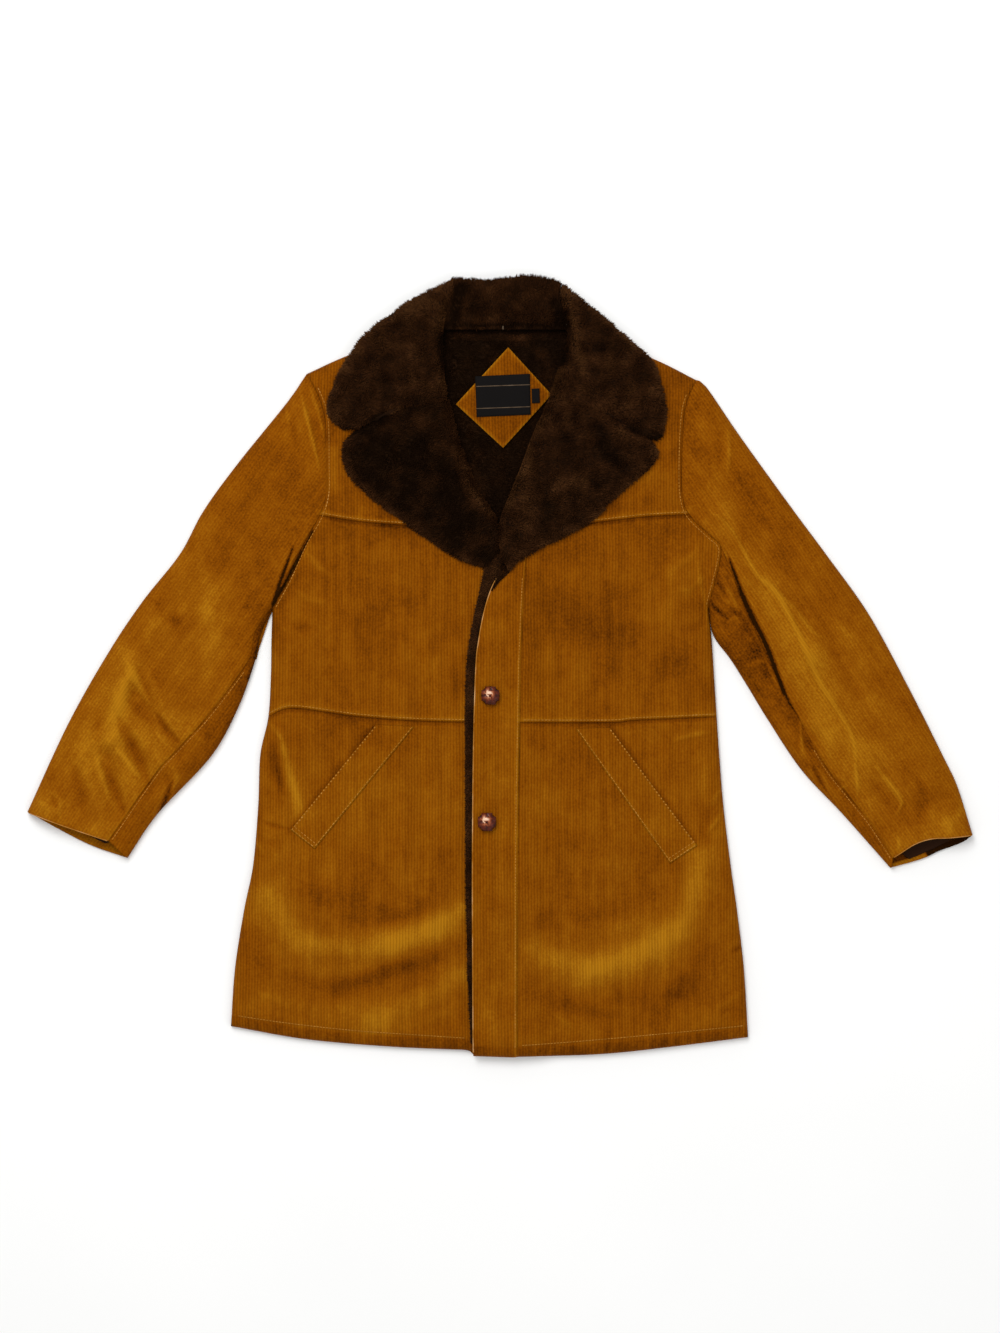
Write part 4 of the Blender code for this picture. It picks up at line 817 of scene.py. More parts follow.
backLeft = np.vstack([curves["armholeLeft"], curves["sideLeft"][1:]])
backRight = np.vstack([curves["armholeRight"], curves["sideRight"][1:]])
backNeck = np.array(backLook["neck"], float)
backTop = np.vstack([curves["shoulderLeft"], backNeck, curves["shoulderRight"][::-1]])
backHem = np.vstack([cut("hemLeft", 0.0, backLook["hemShown"]), curves["placketHem"],
                     curves["hemRight"][::-1][1:]])
backGrid = patchGrid(backLeft, backRight, backTop, backHem, backLook["step"])
backPoints = lifted(backGrid, backLook["top"] + underside(backGrid, backLook["wave"]))
backPiece = gridPiece("backPanel", backPoints, finish["body"], backLook["thick"], underShading(backGrid, 0.0))
settle(faceUp(backPiece), "back_panel")

sleeveLook = {
    "finer": 0.8, "turnRow": 4, "bead": 0.8, "rows": 200, "underCols": 24, "stripCols": 22,
    "rest": 0.35, "wave": 0.3, "turnUp": (0.9, 3.0), "tuckIn": 0.06,
    "stripShade": {"Left": -0.2, "Right": -0.17}, "underShading": 0.02,
    "lipRows": 18, "lipHighlight": 0.16, "shadeCols": 14, "deepShade": 0.75, "shade": 0.5,
    "foldRows": 3, "foldHighlight": 0.14,
}


# sleeves: the topsleeve lies on top, the undersleeve comes round the inner edge on to the top as a strip
def sleevePair(side):
    low = side.lower()
    hole = "armhole" + side
    turnShare = shareOf(hole, bodyCut[hole][sleeveLook["turnRow"]])
    seamShare = shareOf(hole, sleeveCut["seam" + side][0])
    inside = np.vstack([cut(hole, turnShare, seamShare), curves["seam" + side][1:]])
    grid = patchGrid(curves["outer" + side], inside, cut(hole, 0.0, turnShare), curves["topLip" + side],
                     step * sleeveLook["finer"])
    points = lifted(grid, clothHeight(grid))
    piece = faceUp(gridPiece("topsleeve" + side, points, finish[low], layers["clothThick"], paintedLightOf(grid, 0.0)))
    lip = pointsAt(curves["topLip" + side], np.linspace(0.02, 0.98, 50))
    bead = edgeBead("cuffEdge" + side, lip if side == "Left" else lip[::-1], False, sleeveLook["bead"])
    settle(piece, "topsleeve_" + low)

    rows, underCols, lipRows = sleeveLook["rows"], sleeveLook["underCols"], sleeveLook["lipRows"]
    stripLip = np.array([sleeveCut["inner" + side][-1], sleeveCut["seam" + side][-1]], float)
    strip = patchGrid(curves["inner" + side], curves["seam" + side], cut(hole, seamShare, 1.0)[::-1],
                      stripLip, step, (sleeveLook["stripCols"], rows))
    under = patchGrid(curves["outer" + side], curves["inner" + side], curves[hole],
                      curves["lowLip" + side], step, (underCols, rows))
    flatPart = lifted(under, sleeveLook["rest"] + underside(under, sleeveLook["wave"]))
    acrossWay, downWay = np.gradient(under, axis=1), np.gradient(under, axis=0)
    turn = acrossWay[..., 0] * downWay[..., 1] - acrossWay[..., 1] * downWay[..., 0]
    doubled = turn * np.median(turn) < 0.0   # at the armpit the cloth lies on itself
    flatPart[..., 2] += layers["clothThick"] * doubled
    flatPart[:, -1, :2] += sleeveLook["tuckIn"] * (flatPart[:, -2, :2] - flatPart[:, -1, :2])
    edge = strip[:, :1]
    turnUp = [lifted(edge, np.full(edge.shape[:2], z)) for z in sleeveLook["turnUp"]]
    topPart = lifted(strip[:, 1:], clothHeight(strip[:, 1:]))
    points = np.concatenate([flatPart, *turnUp, topPart], axis=1)
    # painted shade on the undersleeve strip
    nap = paintedLightOf(points[..., :2], sleeveLook["stripShade"][side])
    nap[:, :underCols + 1] = underShading(under, sleeveLook["underShading"])
    nap[-lipRows:, :underCols + 1] += sleeveLook["lipHighlight"]   # painted highlight on the turned-in cuff
    if side == "Right":   # painted shadow in this cuff's gaping mouth, but for a painted highlight on a fold at its inner end
        shadeCols, foldRows = sleeveLook["shadeCols"], sleeveLook["foldRows"]
        nap[-lipRows:, :shadeCols] -= sleeveLook["deepShade"]
        nap[-lipRows:-foldRows, shadeCols:underCols + 1] -= sleeveLook["shade"]
        nap[-foldRows:, shadeCols:underCols + 1] += sleeveLook["foldHighlight"]
    piece = faceUp(gridPiece("undersleeve" + side, points, finish[low], layers["clothThick"], nap))
    offTheFloor(piece, layers["clothThick"])
    settle(piece, "undersleeve_" + low)


for side in ("Left", "Right"):
    sleevePair(side)
print("sleeves done")


def copyNode(name, node, material, rings=0):
    # the node's own form, welded, with softer corners
    source = bpy.data.objects[node]
    bm = bmesh.new()
    bm.from_mesh(source.data)
    bm.transform(source.matrix_world)
    bmesh.ops.remove_doubles(bm, verts=bm.verts, dist=0.00002)
    if rings:
        bmesh.ops.subdivide_edges(bm, edges=bm.edges, cuts=rings, use_grid_fill=True)
        bmesh.ops.smooth_vert(bm, verts=bm.verts, factor=0.4, use_axis_x=True, use_axis_y=True,
                              use_axis_z=True)
    bmesh.ops.recalc_face_normals(bm, faces=bm.faces)
    mesh = bpy.data.meshes.new(name)
    bm.to_mesh(mesh)
    bm.free()
    mesh.materials.clear()
    mesh.materials.append(material)
    mesh.shade_smooth()
    piece = bpy.data.objects.new(name, mesh)
    bpy.context.scene.collection.objects.link(piece)
    return piece


for side in ("left", "right"):
    tube = copyNode("sleeveLining" + side.title(), "sleeve_lining_" + side, finish["lining"], 1)
    settle(tube, "sleeve_lining_" + side)
    wall = copyNode("frontLining" + side.title(), "front_lining_" + side, finish["pile"])
    settle(wall, "front_lining_" + side)
print("linings done")

# pocket welts: x y of the mouth's edge and of the sewn edge, at the top and then at the foot
weltCut = {
    "Left": [(-149, -70), (-103, -72.5), (-251, -196), (-222, -219)],
    "Right": [(132, -73.5), (90.6, -75), (236.5, -214.5), (203.5, -236)],
}
weltLook = {"step": 2.6, "seat": 0.2, "proud": 2.4, "sewnShare": 0.35, "sewnRun": 6.0, "rimRun": 3.0,
            "groove": 0.4, "grooveIn": 5.0, "grooveWide": 1.4, "thick": 1.6, "nap": 0.02, "paleEdge": 0.34,
            "paleWide": 2.2}


def weltSides(side):
    # the mouth, the sewn edge, the head and the foot
    topOut, topIn, lowOut, lowIn = np.array(weltCut[side], float)
    return [np.array(ends) for ends in ((topOut, lowOut), (topIn, lowIn), (topOut, topIn), (lowOut, lowIn))]


for side, over in (("Left", False), ("Right", True)):
    mouth, sewnEdge, head, foot = weltSides(side)
    grid = patchGrid(mouth, sewnEdge, head, foot, weltLook["step"])
    sewn = np.minimum(reachTo(grid, sewnEdge), reachTo(grid, foot))
    rim = np.minimum(reachTo(grid, mouth), sewn)
    low = weltLook["sewnShare"]   # flat where it is sewn down
    low = low + (1.0 - low) * roundEdge((sewn + 0.4) / weltLook["sewnRun"])
    proud = weltLook["seat"] + weltLook["proud"] * low * roundEdge((rim + 0.4) / weltLook["rimRun"])
    proud = proud - weltLook["groove"] * bell(rim - weltLook["grooveIn"], weltLook["grooveWide"])
    points = lifted(grid, clothHeight(grid, over) + proud)
    nap = paintedLightOf(grid, weltLook["nap"] + weltLook["paleEdge"] * bell(sewn, weltLook["paleWide"]))
    piece = faceUp(gridPiece("pocketWelt" + side, points, finish["body"], weltLook["thick"], nap))
    settle(piece, "welt_" + side.lower())

# pile: short leaves of plush, roll x y, edge x y and how far the roll is tucked down, row by row
pileCut = {
    "lapelLeft": [(-63, 318, -136, 304, 7), (-60.5, 308, -170, 285, 7), (-57.5, 297, -189, 266, 7),
                  (-50.4, 269.4, -186, 237, 7), (-40, 241, -163.2, 208.2, 7),
                  (-28.8, 214.2, -105.6, 165, 7), (-14, 190, -56.4, 131.4, 8), (-3.5, 170, -30, 121, 15.6),
                  (-2, 140, -17, 116, 15.6)],
    "lapelRight": [(60, 323, 134, 301, 7), (56, 312, 167, 283, 7), (50, 300, 189, 261, 7),
                   (41, 281, 186, 243, 7), (31, 254, 145.2, 208.2, 7), (20.4, 226.2, 111.6, 174.6, 7),
                   (9, 198, 70, 151, 8), (0.8, 175, 30, 129, 15.6), (-1, 142, 11, 113, 15.6)],
    "collarLeft": [(-64, 319, -135.5, 306.5, 7), (-65, 325, -176, 284, 7), (-66, 334, -202, 293, 7),
                   (-67.5, 352, -207.6, 315, 7), (-69.6, 388, -194.4, 352.2, 7),
                   (-68.5, 408, -163.2, 397.8, 14.8), (-64, 428, -108, 440, 14.8),
                   (-57.5, 443, -56.4, 466.2, 14.8)],
    "collarRight": [(62, 326, 133, 302.5, 7), (64, 331, 167, 281, 7), (66, 338, 193, 272.5, 7),
                    (69.5, 348, 200.4, 309, 7), (77, 372, 193, 341, 7), (81.6, 390, 183.6, 366.6, 7),
                    (81, 408, 142.8, 403.8, 14.8), (77.5, 430, 110, 432, 14.8),
                    (72, 443, 75.6, 460.2, 14.8)],
}
pileLook = {
    "round": 13.0, "endRound": 8.0, "thickLapel": 8.0, "thickCollar": 9.5, "backing": 2.2, "flatBacking": 2.0,
    "rows": 46, "cols": 44, "notch": 1.6, "seat": 15.0, "gap": 0.4, "inset": 2.0, "rollUp": 1.5,
    "rollDrop": 1.2, "paleRim": 0.2, "rimWide": 12.0, "farIn": 40.0,
}
pileLumps = [(2.0, 30.0, 11.0), (1.4, 13.0, 17.0)]
pileTones = [(0.12, 34.0, 23.0), (0.1, 12.0, 27.0)]
tuftLook = {"long": 4.2, "wide": 0.85, "perSquareMm": 0.8, "up": 0.42, "downNap": 0.6, "swirl": 1.1,
            "swirlSize": 17.0, "scatter": 0.22, "sunk": 0.4, "floor": 0.1, "mottle": 0.05, "rootShade": -0.08,
            "tipHighlight": 0.05}


def tuftMesh(name, points, where=None, density=None, long=None, seed=1, shade=None):
    # thousands of little spikes of pile in one mesh, leaning down the nap
    rng = np.random.default_rng(seed)
    density = density or tuftLook["perSquareMm"]
    long = long or tuftLook["long"]
    a, b = points[:-1, :-1], points[:-1, 1:]
    c, d = points[1:, :-1], points[1:, 1:]
    crossed = np.cross(b - c, d - a)
    area = 0.5 * np.linalg.norm(crossed, axis=2)
    normal = crossed / np.maximum(2 * area, 1e-9)[..., None]
    normal = normal * np.sign(normal[..., 2:] + 1e-9)
    weight = area.copy()
    if where is not None:
        weight = weight * where(0.25 * (a + b + c + d))
    count = int(weight.sum() * density)
    cells = rng.choice(weight.size, size=count, p=weight.ravel() / weight.sum())
    ci, cj = np.unravel_index(cells, weight.shape)
    s, t = rng.random(count)[:, None], rng.random(count)[:, None]
    root = a[ci, cj] * (1 - s) * (1 - t) + b[ci, cj] * s * (1 - t)
    root = root + c[ci, cj] * (1 - s) * t + d[ci, cj] * s * t
    nap = (b - a)[ci, cj]
    nap = nap / np.maximum(np.linalg.norm(nap, axis=1), 1e-9)[:, None]
    up = normal[ci, cj]
    swirl = np.zeros((count, 3))
    for k, start in enumerate((4.0, 9.0)):
        swirl[:, k] = cloudy(root[:, :2], tuftLook["swirlSize"], start + seed)
    aim = tuftLook["up"] * up + tuftLook["downNap"] * nap + tuftLook["swirl"] * swirl
    aim = aim + rng.normal(0.0, tuftLook["scatter"], (count, 3))
    aim = aim / np.linalg.norm(aim, axis=1)[:, None]
    tip = root + aim * long * (0.7 + 0.6 * rng.random(count))[:, None]
    side = np.cross(aim, rng.normal(size=(count, 3)))
    side = side / np.linalg.norm(side, axis=1)[:, None]
    third = np.cross(aim, side)
    wide = tuftLook["wide"] * (0.7 + 0.6 * rng.random(count))[:, None]
    root = root - tuftLook["sunk"] * up
    feet = [root + wide * (p * side + q * third) for p, q in ((1.0, 0.0), (-0.5, 0.87), (-0.5, -0.87))]
    verts = np.stack([*feet, tip], axis=1).reshape(-1, 3)
    verts[:, 2] = np.maximum(verts[:, 2], tuftLook["floor"])   # the floor stops the lowest
    base = np.arange(count)[:, None] * 4
    faces = np.concatenate([base + np.array(f) for f in ((0, 1, 3), (1, 2, 3), (2, 0, 3))], axis=0)
    mesh = bpy.data.meshes.new(name)
    mesh.from_pydata((verts * mm).tolist(), [], faces.tolist())
    tone = tuftLook["mottle"] * rng.normal(size=count)
    if shade is not None:
        tone = tone + shade[ci, cj]
    # painted shade at each tuft's root and a painted highlight at its tip
    tones = np.stack([tone + tuftLook["rootShade"]] * 3 + [tone + tuftLook["tipHighlight"]], axis=1)
    layer = mesh.attributes.new("tone", "FLOAT", "POINT")
    layer.data.foreach_set("value", tones.ravel().astype(np.float32))
    mesh.materials.append(finish["tips"])
    mesh.update()
    piece = bpy.data.objects.new(name, mesh)
    bpy.context.scene.collection.objects.link(piece)
    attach(piece, "root")
    return piece


pileShadingBands = [
    # painted shade and highlight on the pile: a path, its half width and the amount
    ([(-191, 285), (-166, 283.5), (-135, 301)], 4.5, -0.5), ([(-135, 341), (-133, 313)], 7, -0.12),
    ([(-158, 249), (-105, 263), (-66, 229), (-54, 179)], 22, -0.12),
    ([(-183, 243), (-158, 207), (-116, 176)], 9, 0.1),
    ([(-130, 285), (-96, 299), (-66, 268), (-40, 229), (-10, 179)], 9, 0.12),
    ([(99, 307), (141, 285), (189, 257)], 8, 0.14), ([(116, 291), (121, 268), (141, 249)], 8, -0.26),
    ([(150, 289), (180, 274), (203, 272)], 4.5, -0.5),
    ([(169, 207), (113, 170.5), (57, 142.5), (24, 117.5)], 5, -0.2),
    ([(85, 229), (43, 201), (24, 168)], 18, 0.1), ([(-130, 413.5), (-102, 425), (-66, 447)], 10, 0.1),
    ([(-71, 397), (-67, 363), (-57, 324)], 3.6, -0.3), ([(-50, 448), (-58, 412)], 8, -0.5),
    ([(67, 430), (74, 412)], 9, -0.42), ([(21, 402), (45, 378), (64, 355)], 7, 0.16),
    ([(-56, 401), (46, 401)], 6, 0.14), ([(82, 444), (88, 408), (94, 363), (113, 324)], 7, 0.12),
    ([(81, 425), (78, 388), (74, 363)], 3.4, -0.3), ([(-63, 392), (-60, 352)], 10, -0.3),
    ([(74, 400), (71, 368)], 10, -0.3), ([(-66, 407.5), (8, 407), (80, 406.5)], 2.6, -0.4),
    ([(0, 205), (-4, 140)], 12, -0.16), ([(-40, 225), (-20, 195), (-6, 172)], 3.6, 0.14),
    ([(28, 240), (14, 205), (2, 176)], 3.6, 0.16),
]


def pileSheet(name, node, points, thick):
    piece = faceUp(gridPiece(name, points, finish["pile"], thick))
    settle(piece, node)


def pileLeaf(name, node, thick, over, roundEnd, seed, base):
    table = np.array(pileCut[name], float)
    for k in (0, 2):   # the two leaves close up at the notch
        way = table[0, k:k + 2] - table[1, k:k + 2]
        table[0, k:k + 2] += pileLook["notch"] * way / np.linalg.norm(way)
    t = np.linspace(0.0, 1.0, pileLook["rows"] + 1)
    roll = pointsAt(smoothCurve(table[:, 0:2], 3.0), t)
    edge = pointsAt(smoothCurve(table[:, 2:4], 3.0), t)
    tuck = np.interp(t, np.linspace(0.0, 1.0, len(table)), table[:, 4])
    s = np.concatenate([[0.0], np.linspace(0.0, 1.0, pileLook["cols"])])
    xy = roll[:, None] + (edge - roll)[:, None] * s[None, :, None]
    wide = np.linalg.norm(edge - roll, axis=1)[:, None]
    ground = np.maximum(pileLook["seat"], clothHeight(xy, over)) + pileLook["gap"]
    fromEdge = wide * (1 - s)[None]
    fromRoll = wide * s[None]
    fromEnd = reachTo(xy, np.array([roll[0], edge[0]]))
    if roundEnd:
        fromEnd = np.minimum(fromEnd, reachTo(xy, np.array([roll[-1], edge[-1]])))
    crown = np.minimum(roundEdge((fromEdge + 0.2) / pileLook["round"]),
                       roundEdge((fromEnd + 1.0) / pileLook["endRound"]))
    lumps = clouds(xy, [(high, size, first + seed) for high, size, first in pileLumps])
    z = ground + (thick + lumps) * crown
    start = np.minimum(tuck[:, None], ground) + pileLook["rollUp"]
    z = start + (z - start) * roundEdge((fromRoll + 0.6) / pileLook["round"])
    z[:, 0] = start[:, 0] - pileLook["rollDrop"]
    shrink = 1.0 - pileLook["inset"] / wide
    xy = roll[:, None] + (edge - roll)[:, None] * (s[None] * shrink)[..., None]
    points = lifted(xy, z)
    inside = np.minimum(fromEdge, np.minimum(fromRoll, pileLook["farIn"]))
    # painted highlight along the leaf's rims
    shade = base + pileLook["paleRim"] * bell(inside, pileLook["rimWide"])
    shade = shade + clouds(xy, [(high, size, first + seed) for high, size, first in pileTones])
    fur = tuftMesh(name + "Tufts", points, seed=seed, shade=shade + bandSum(xy, pileShadingBands))
    pileSheet(name, node, points, pileLook["backing"])


pileLeaf("lapelLeft", "lapel_left", pileLook["thickLapel"], False, True, 3, -0.14)
# the right lapel runs out in a thin tail along the front edge, its darkened tufts partly a painted shadow
# beside the lapel: x y and half width
tailCut = np.array([(10, 122, 6.6), (6, 114, 6.6), (-0.6, 106, 3.6), (-6, 98, 1.6), (-9.5, 92, 0.5)])
tailLook = {"up": 0.6, "perSquareMm": 3.0, "long": 2.8, "tone": -0.1}
tailWay = np.gradient(tailCut[:, :2], axis=0)
tailWay = tailWay / np.linalg.norm(tailWay, axis=1)[:, None]
tailOut = np.stack([-tailWay[:, 1], tailWay[:, 0]], axis=1) * tailCut[:, 2:]
tailGrid = np.stack([tailCut[:, :2] + tailOut * k for k in (-1.0, -0.4, 0.2, 0.8)], axis=0)
tailPoints = lifted(tailGrid, clothHeight(tailGrid, True) + tailLook["up"])
tail = tuftMesh("lapelTail", tailPoints, None, tailLook["perSquareMm"], tailLook["long"], 6,
                np.full(tailGrid.shape[:2], tailLook["tone"]))
pileLeaf("lapelRight", "lapel_right", pileLook["thickLapel"], True, True, 5, 0.0)
pileLeaf("collarLeft", "collar_left", pileLook["thickCollar"], False, False, 7, 0.06)
pileLeaf("collarRight", "collar_right", pileLook["thickCollar"], False, False, 9, 0.06)

# back of the collar: the stand in the neck rises over the roll to the fall behind
collarBackCut = {
    "left": [(-69, 405), (-65, 429), (-60, 443.5), (-58, 466)],
    "right": [(80, 405), (75, 430.5), (70.5, 443.5), (74.6, 460)],
    "top": [(-58, 466), (-13.2, 463.8), (36, 468.6), (74.6, 460)],
}
collarBackLook = {"step": 2.6, "rollAt": 0.62, "stand": 9.7, "standHigh": 5.4, "standEnd": 0.42, "deep": 56.0,
                  "pile": 2.0, "rollPile": 4.4, "tone": 0.04}
collarBackLumps = [(0.8, 24.0, 31.0), (0.5, 10.0, 33.0)]
collarBackTones = [(0.1, 20.0, 35.0)]
neckLine = np.array([collarBackCut["left"][0], collarBackCut["right"][0]], float)
grid = patchGrid(smoothCurve(collarBackCut["left"]), smoothCurve(collarBackCut["right"]), neckLine,
                 smoothCurve(collarBackCut["top"]), collarBackLook["step"])
share = np.linspace(0.0, 1.0, grid.shape[0])[:, None]
standShare = np.minimum(1.0, share / collarBackLook["standEnd"])
base = collarBackLook["stand"] + collarBackLook["standHigh"] * standShare
crown = roundEdge(((1.0 - share) * collarBackLook["deep"] + 0.3) / pileLook["round"])
pile = collarBackLook["pile"] + collarBackLook["rollPile"] * ease(share / collarBackLook["rollAt"])
backRoll = lifted(grid, base + 1.0 + (pile + clouds(grid, collarBackLumps)) * crown)
shade = collarBackLook["tone"] + clouds(grid, collarBackTones) + bandSum(grid, pileShadingBands)
fur = tuftMesh("collarBackTufts", backRoll.transpose(1, 0, 2), seed=11, shade=shade.T)
pileSheet("collarBack", "collar_back", backRoll, pileLook["flatBacking"])

# the fall behind: x y of its neck edge and its outer edge, and how high the neck edge lies
fallCut = [(-152, 390.6, -158, 398, 14.2), (-114, 407, -106, 435, 14.2), (-92, 412.5, -80, 448, 11.5),
           (-70, 412.5, -58, 461, 8.8), (0, 411.5, 0, 459, 8.8), (80, 411.5, 74, 455, 8.8),
           (112, 403, 112, 426, 14.2), (150, 388, 155, 390.6, 14.2)]
fallLook = {"rows": 90, "high": 13.0}
# share of the way out and height, across the fall
fallSection = np.array([(0.0, 0.0), (0.25, 0.5), (0.5, 1.0), (0.7, 1.0), (0.85, 0.93), (0.94, 0.8),
                        (1.0, 0.55), (1.0, 0.3), (0.99, 0.04)])
fall = np.array(fallCut, float)
t = np.linspace(0.0, 1.0, fallLook["rows"])
inner = pointsAt(smoothCurve(fall[:, 0:2]), t)
outer = pointsAt(smoothCurve(fall[:, 2:4]), t)
neckTop = np.interp(t, np.linspace(0.0, 1.0, len(fall)), fall[:, 4])[:, None]
s, lift = fallSection.T
fallFrom = np.where(s <= 0.5, neckTop, 0.0)   # the inner half rises from the neck, the outer from the floor
fallHeight = fallFrom + (fallLook["high"] - fallFrom) * lift
fallPoints = lifted(inner[:, None] + (outer - inner)[:, None] * s[None, :, None], fallHeight)
fur = tuftMesh("collarFallTufts", fallPoints, seed=13)
pileSheet("collarFall", "collar_fall", fallPoints, pileLook["flatBacking"])

# back lining: flat pile, seen in the neck
backLiningCut = {
    "left": [(-196, 342), (-202, 300), (-202, 200), (-224, 150), (-248, 80), (-252, -60), (-270, -240),
             (-294, -411)],
    "right": [(200, 336), (212, 300), (212, 200), (236, 150), (234, 80), (234, -60), (250, -240),
              (270, -424)],
    "top": [(-196, 342), (-98, 396), (-74, 408), (84, 408), (104, 392), (200, 336)],
    "hem": [(-294, -411), (-34, -440), (16, -448), (270, -424)],
}
backLiningLook = {"step": 7.0, "high": 4.6, "perSquareMm": 0.8, "long": 3.2, "tone": -0.22}
neckHalf = [(118, 14), (200, 36), (300, 72), (330, 80), (410, 92)]   # y and half the width that shows
grid = patchGrid(*(np.array(points, float) for points in backLiningCut.values()), backLiningLook["step"])
liningPoints = lifted(grid, np.full(grid.shape[:2], backLiningLook["high"]))


def inNeck(p):
    # the opening between the lapels, with a little more all round
    half = np.interp(p[..., 1], *zip(*neckHalf))
    return ((np.abs(p[..., 0]) < half) & (p[..., 1] > neckHalf[0][0])).astype(float)


shade = bandSum(grid, pileShadingBands) + backLiningLook["tone"]
fur = tuftMesh("backLiningTufts", liningPoints, inNeck, backLiningLook["perSquareMm"],
               backLiningLook["long"], 15, shade)
pileSheet("backLining", "back_lining", liningPoints, pileLook["flatBacking"])

# front facing: a strip of pile that peeps out beside the placket: y, then x of its left and right edges
facingCut = [(165, -8, 4), (140, -14, 8), (120, -18, 10), (111, -19.5, 8), (64, -30.5, 12), (14, -39, 20),
             (-29, -41.5, 20), (-93, -41.5, 20), (-256, -41, 20), (-312, -40, 20), (-369, -38.6, 20),
             (-426, -36, 20), (-452, -34.5, 20)]
facingLook = {"rows": 180, "cols": 16, "below": 3.4, "edgeDrop": 1.2, "edgeWide": 2.0, "wide": 56.0,
              "shown": 17.0, "allAbove": 100.0, "perSquareMm": 0.9, "long": 2.3, "tone": 0.16}
facing = np.array(facingCut, float)[::-1]
ys = np.linspace(facing[-1, 0], facing[0, 0], facingLook["rows"])[:, None]
leftX = np.interp(ys, facing[:, 0], facing[:, 1])
rightX = np.interp(ys, facing[:, 0], facing[:, 2])
s = np.linspace(0.0, 1.0, facingLook["cols"])[None]
grid = np.stack([leftX + (rightX - leftX) * s, np.repeat(ys, facingLook["cols"], axis=1)], axis=2)
edgeDrop = facingLook["edgeDrop"] * bell(s * facingLook["wide"], facingLook["edgeWide"])
facingPoints = lifted(grid, clothHeight(grid, True) - facingLook["below"] - edgeDrop)


def besidePlacket(p):
    shown = np.interp(p[..., 1], facing[:, 0], facing[:, 1]) + facingLook["shown"]
    return ((p[..., 0] < shown) | (p[..., 1] > facingLook["allAbove"])).astype(float)


shade = np.full(facingPoints.shape[:2], facingLook["tone"])
fur = tuftMesh("facingTufts", facingPoints[:, ::-1], besidePlacket, facingLook["perSquareMm"],
               facingLook["long"], 17, shade)
pileSheet("frontFacing", "front_facing", facingPoints, pileLook["flatBacking"])
print("pile done")

# neck: corduroy patch, bare label and tab
neckCut = {
    "patch": [(9.8, 384), (62, 327), (3.8, 263), (-53, 315.5)],
    "label": [(-30, 349), (36, 352), (37, 303), (-28, 300)],
    "tab": [(38, 334), (47.5, 334.5), (48, 317), (38.5, 316.5)],
}
neckLook = {"pressed": 0.35, "pressedIn": 3.0, "pressedWide": 1.0, "paleRim": 0.5, "rimWide": 2.2}
labelLines = {"left": -28.6, "right": 36.4, "wide": 1.0, "at": [(336.2, 338.4), (309.6, 311.9)]}


def flatPiece(name, node, corners, z, thick, material, slot, bow, step):
    a, b, c, d = (np.array(p, float) for p in corners)
    grid = patchGrid(np.array([a, d]), np.array([b, c]), np.array([a, b]), np.array([d, c]), step)
    rim = np.min([reachTo(grid, np.array(pair)) for pair in ((a, b), (b, c), (c, d), (d, a))], axis=0)
    pressed = neckLook["pressed"] * bell(rim - neckLook["pressedIn"], neckLook["pressedWide"])
    points = lifted(grid, z + bow * cloudy(grid, 30.0, 41.0) - pressed)
    nap = None
    if slot == "corduroy":
        nap = paintedLightOf(grid, neckLook["paleRim"] * bell(rim, neckLook["rimWide"]))
    piece = faceUp(gridPiece(name, points, material, thick, nap))
    return settle(piece, node)


flatPiece("neckPatch", "neck_patch", neckCut["patch"], 8.1, 1.2, finish["body"], "corduroy", 0.3, 2.5)
flatPiece("neckLabel", "neck_label", neckCut["label"], 9.2, 0.7, finish["tape"], "woven_label", 0.4, 2.5)
flatPiece("sizeTab", "size_tab", neckCut["tab"], 9.1, 0.6, finish["tape"], "woven_label", 0.2, 1.5)

# two plain lines woven into the label
for number, (left, right) in enumerate(labelLines["at"]):
    startX, endX, wide = labelLines["left"], labelLines["right"], labelLines["wide"]
    line = [(startX, left + wide), (endX, right + wide), (endX, right), (startX, left)]
    flatPiece("labelLine" + str(number + 1), None, line, 9.5, 0.2, finish["tack"], "woven_label", 0.4, 2.5)

# buttons: a domed core with four strips plaited over it
buttonCut = {
    "upper": (-11.5, -35.0), "lower": (-15.6, -186.0), "radius": 11.5, "high": 9.0, "seat": 0.4, "steps": 32,
    "stripLong": 0.93, "stripAside": 0.3, "stripHalf": 0.255, "brim": 0.46, "dome": 0.5, "weave": 0.05,
    "weaveTurns": 5.2, "bulge": 0.06, "stripEdgeShade": 0.85,
    "highlightAt": (-1.6, 2.0, 0.0), "highlightWide": 6.2, "highlight": 1.05,
}
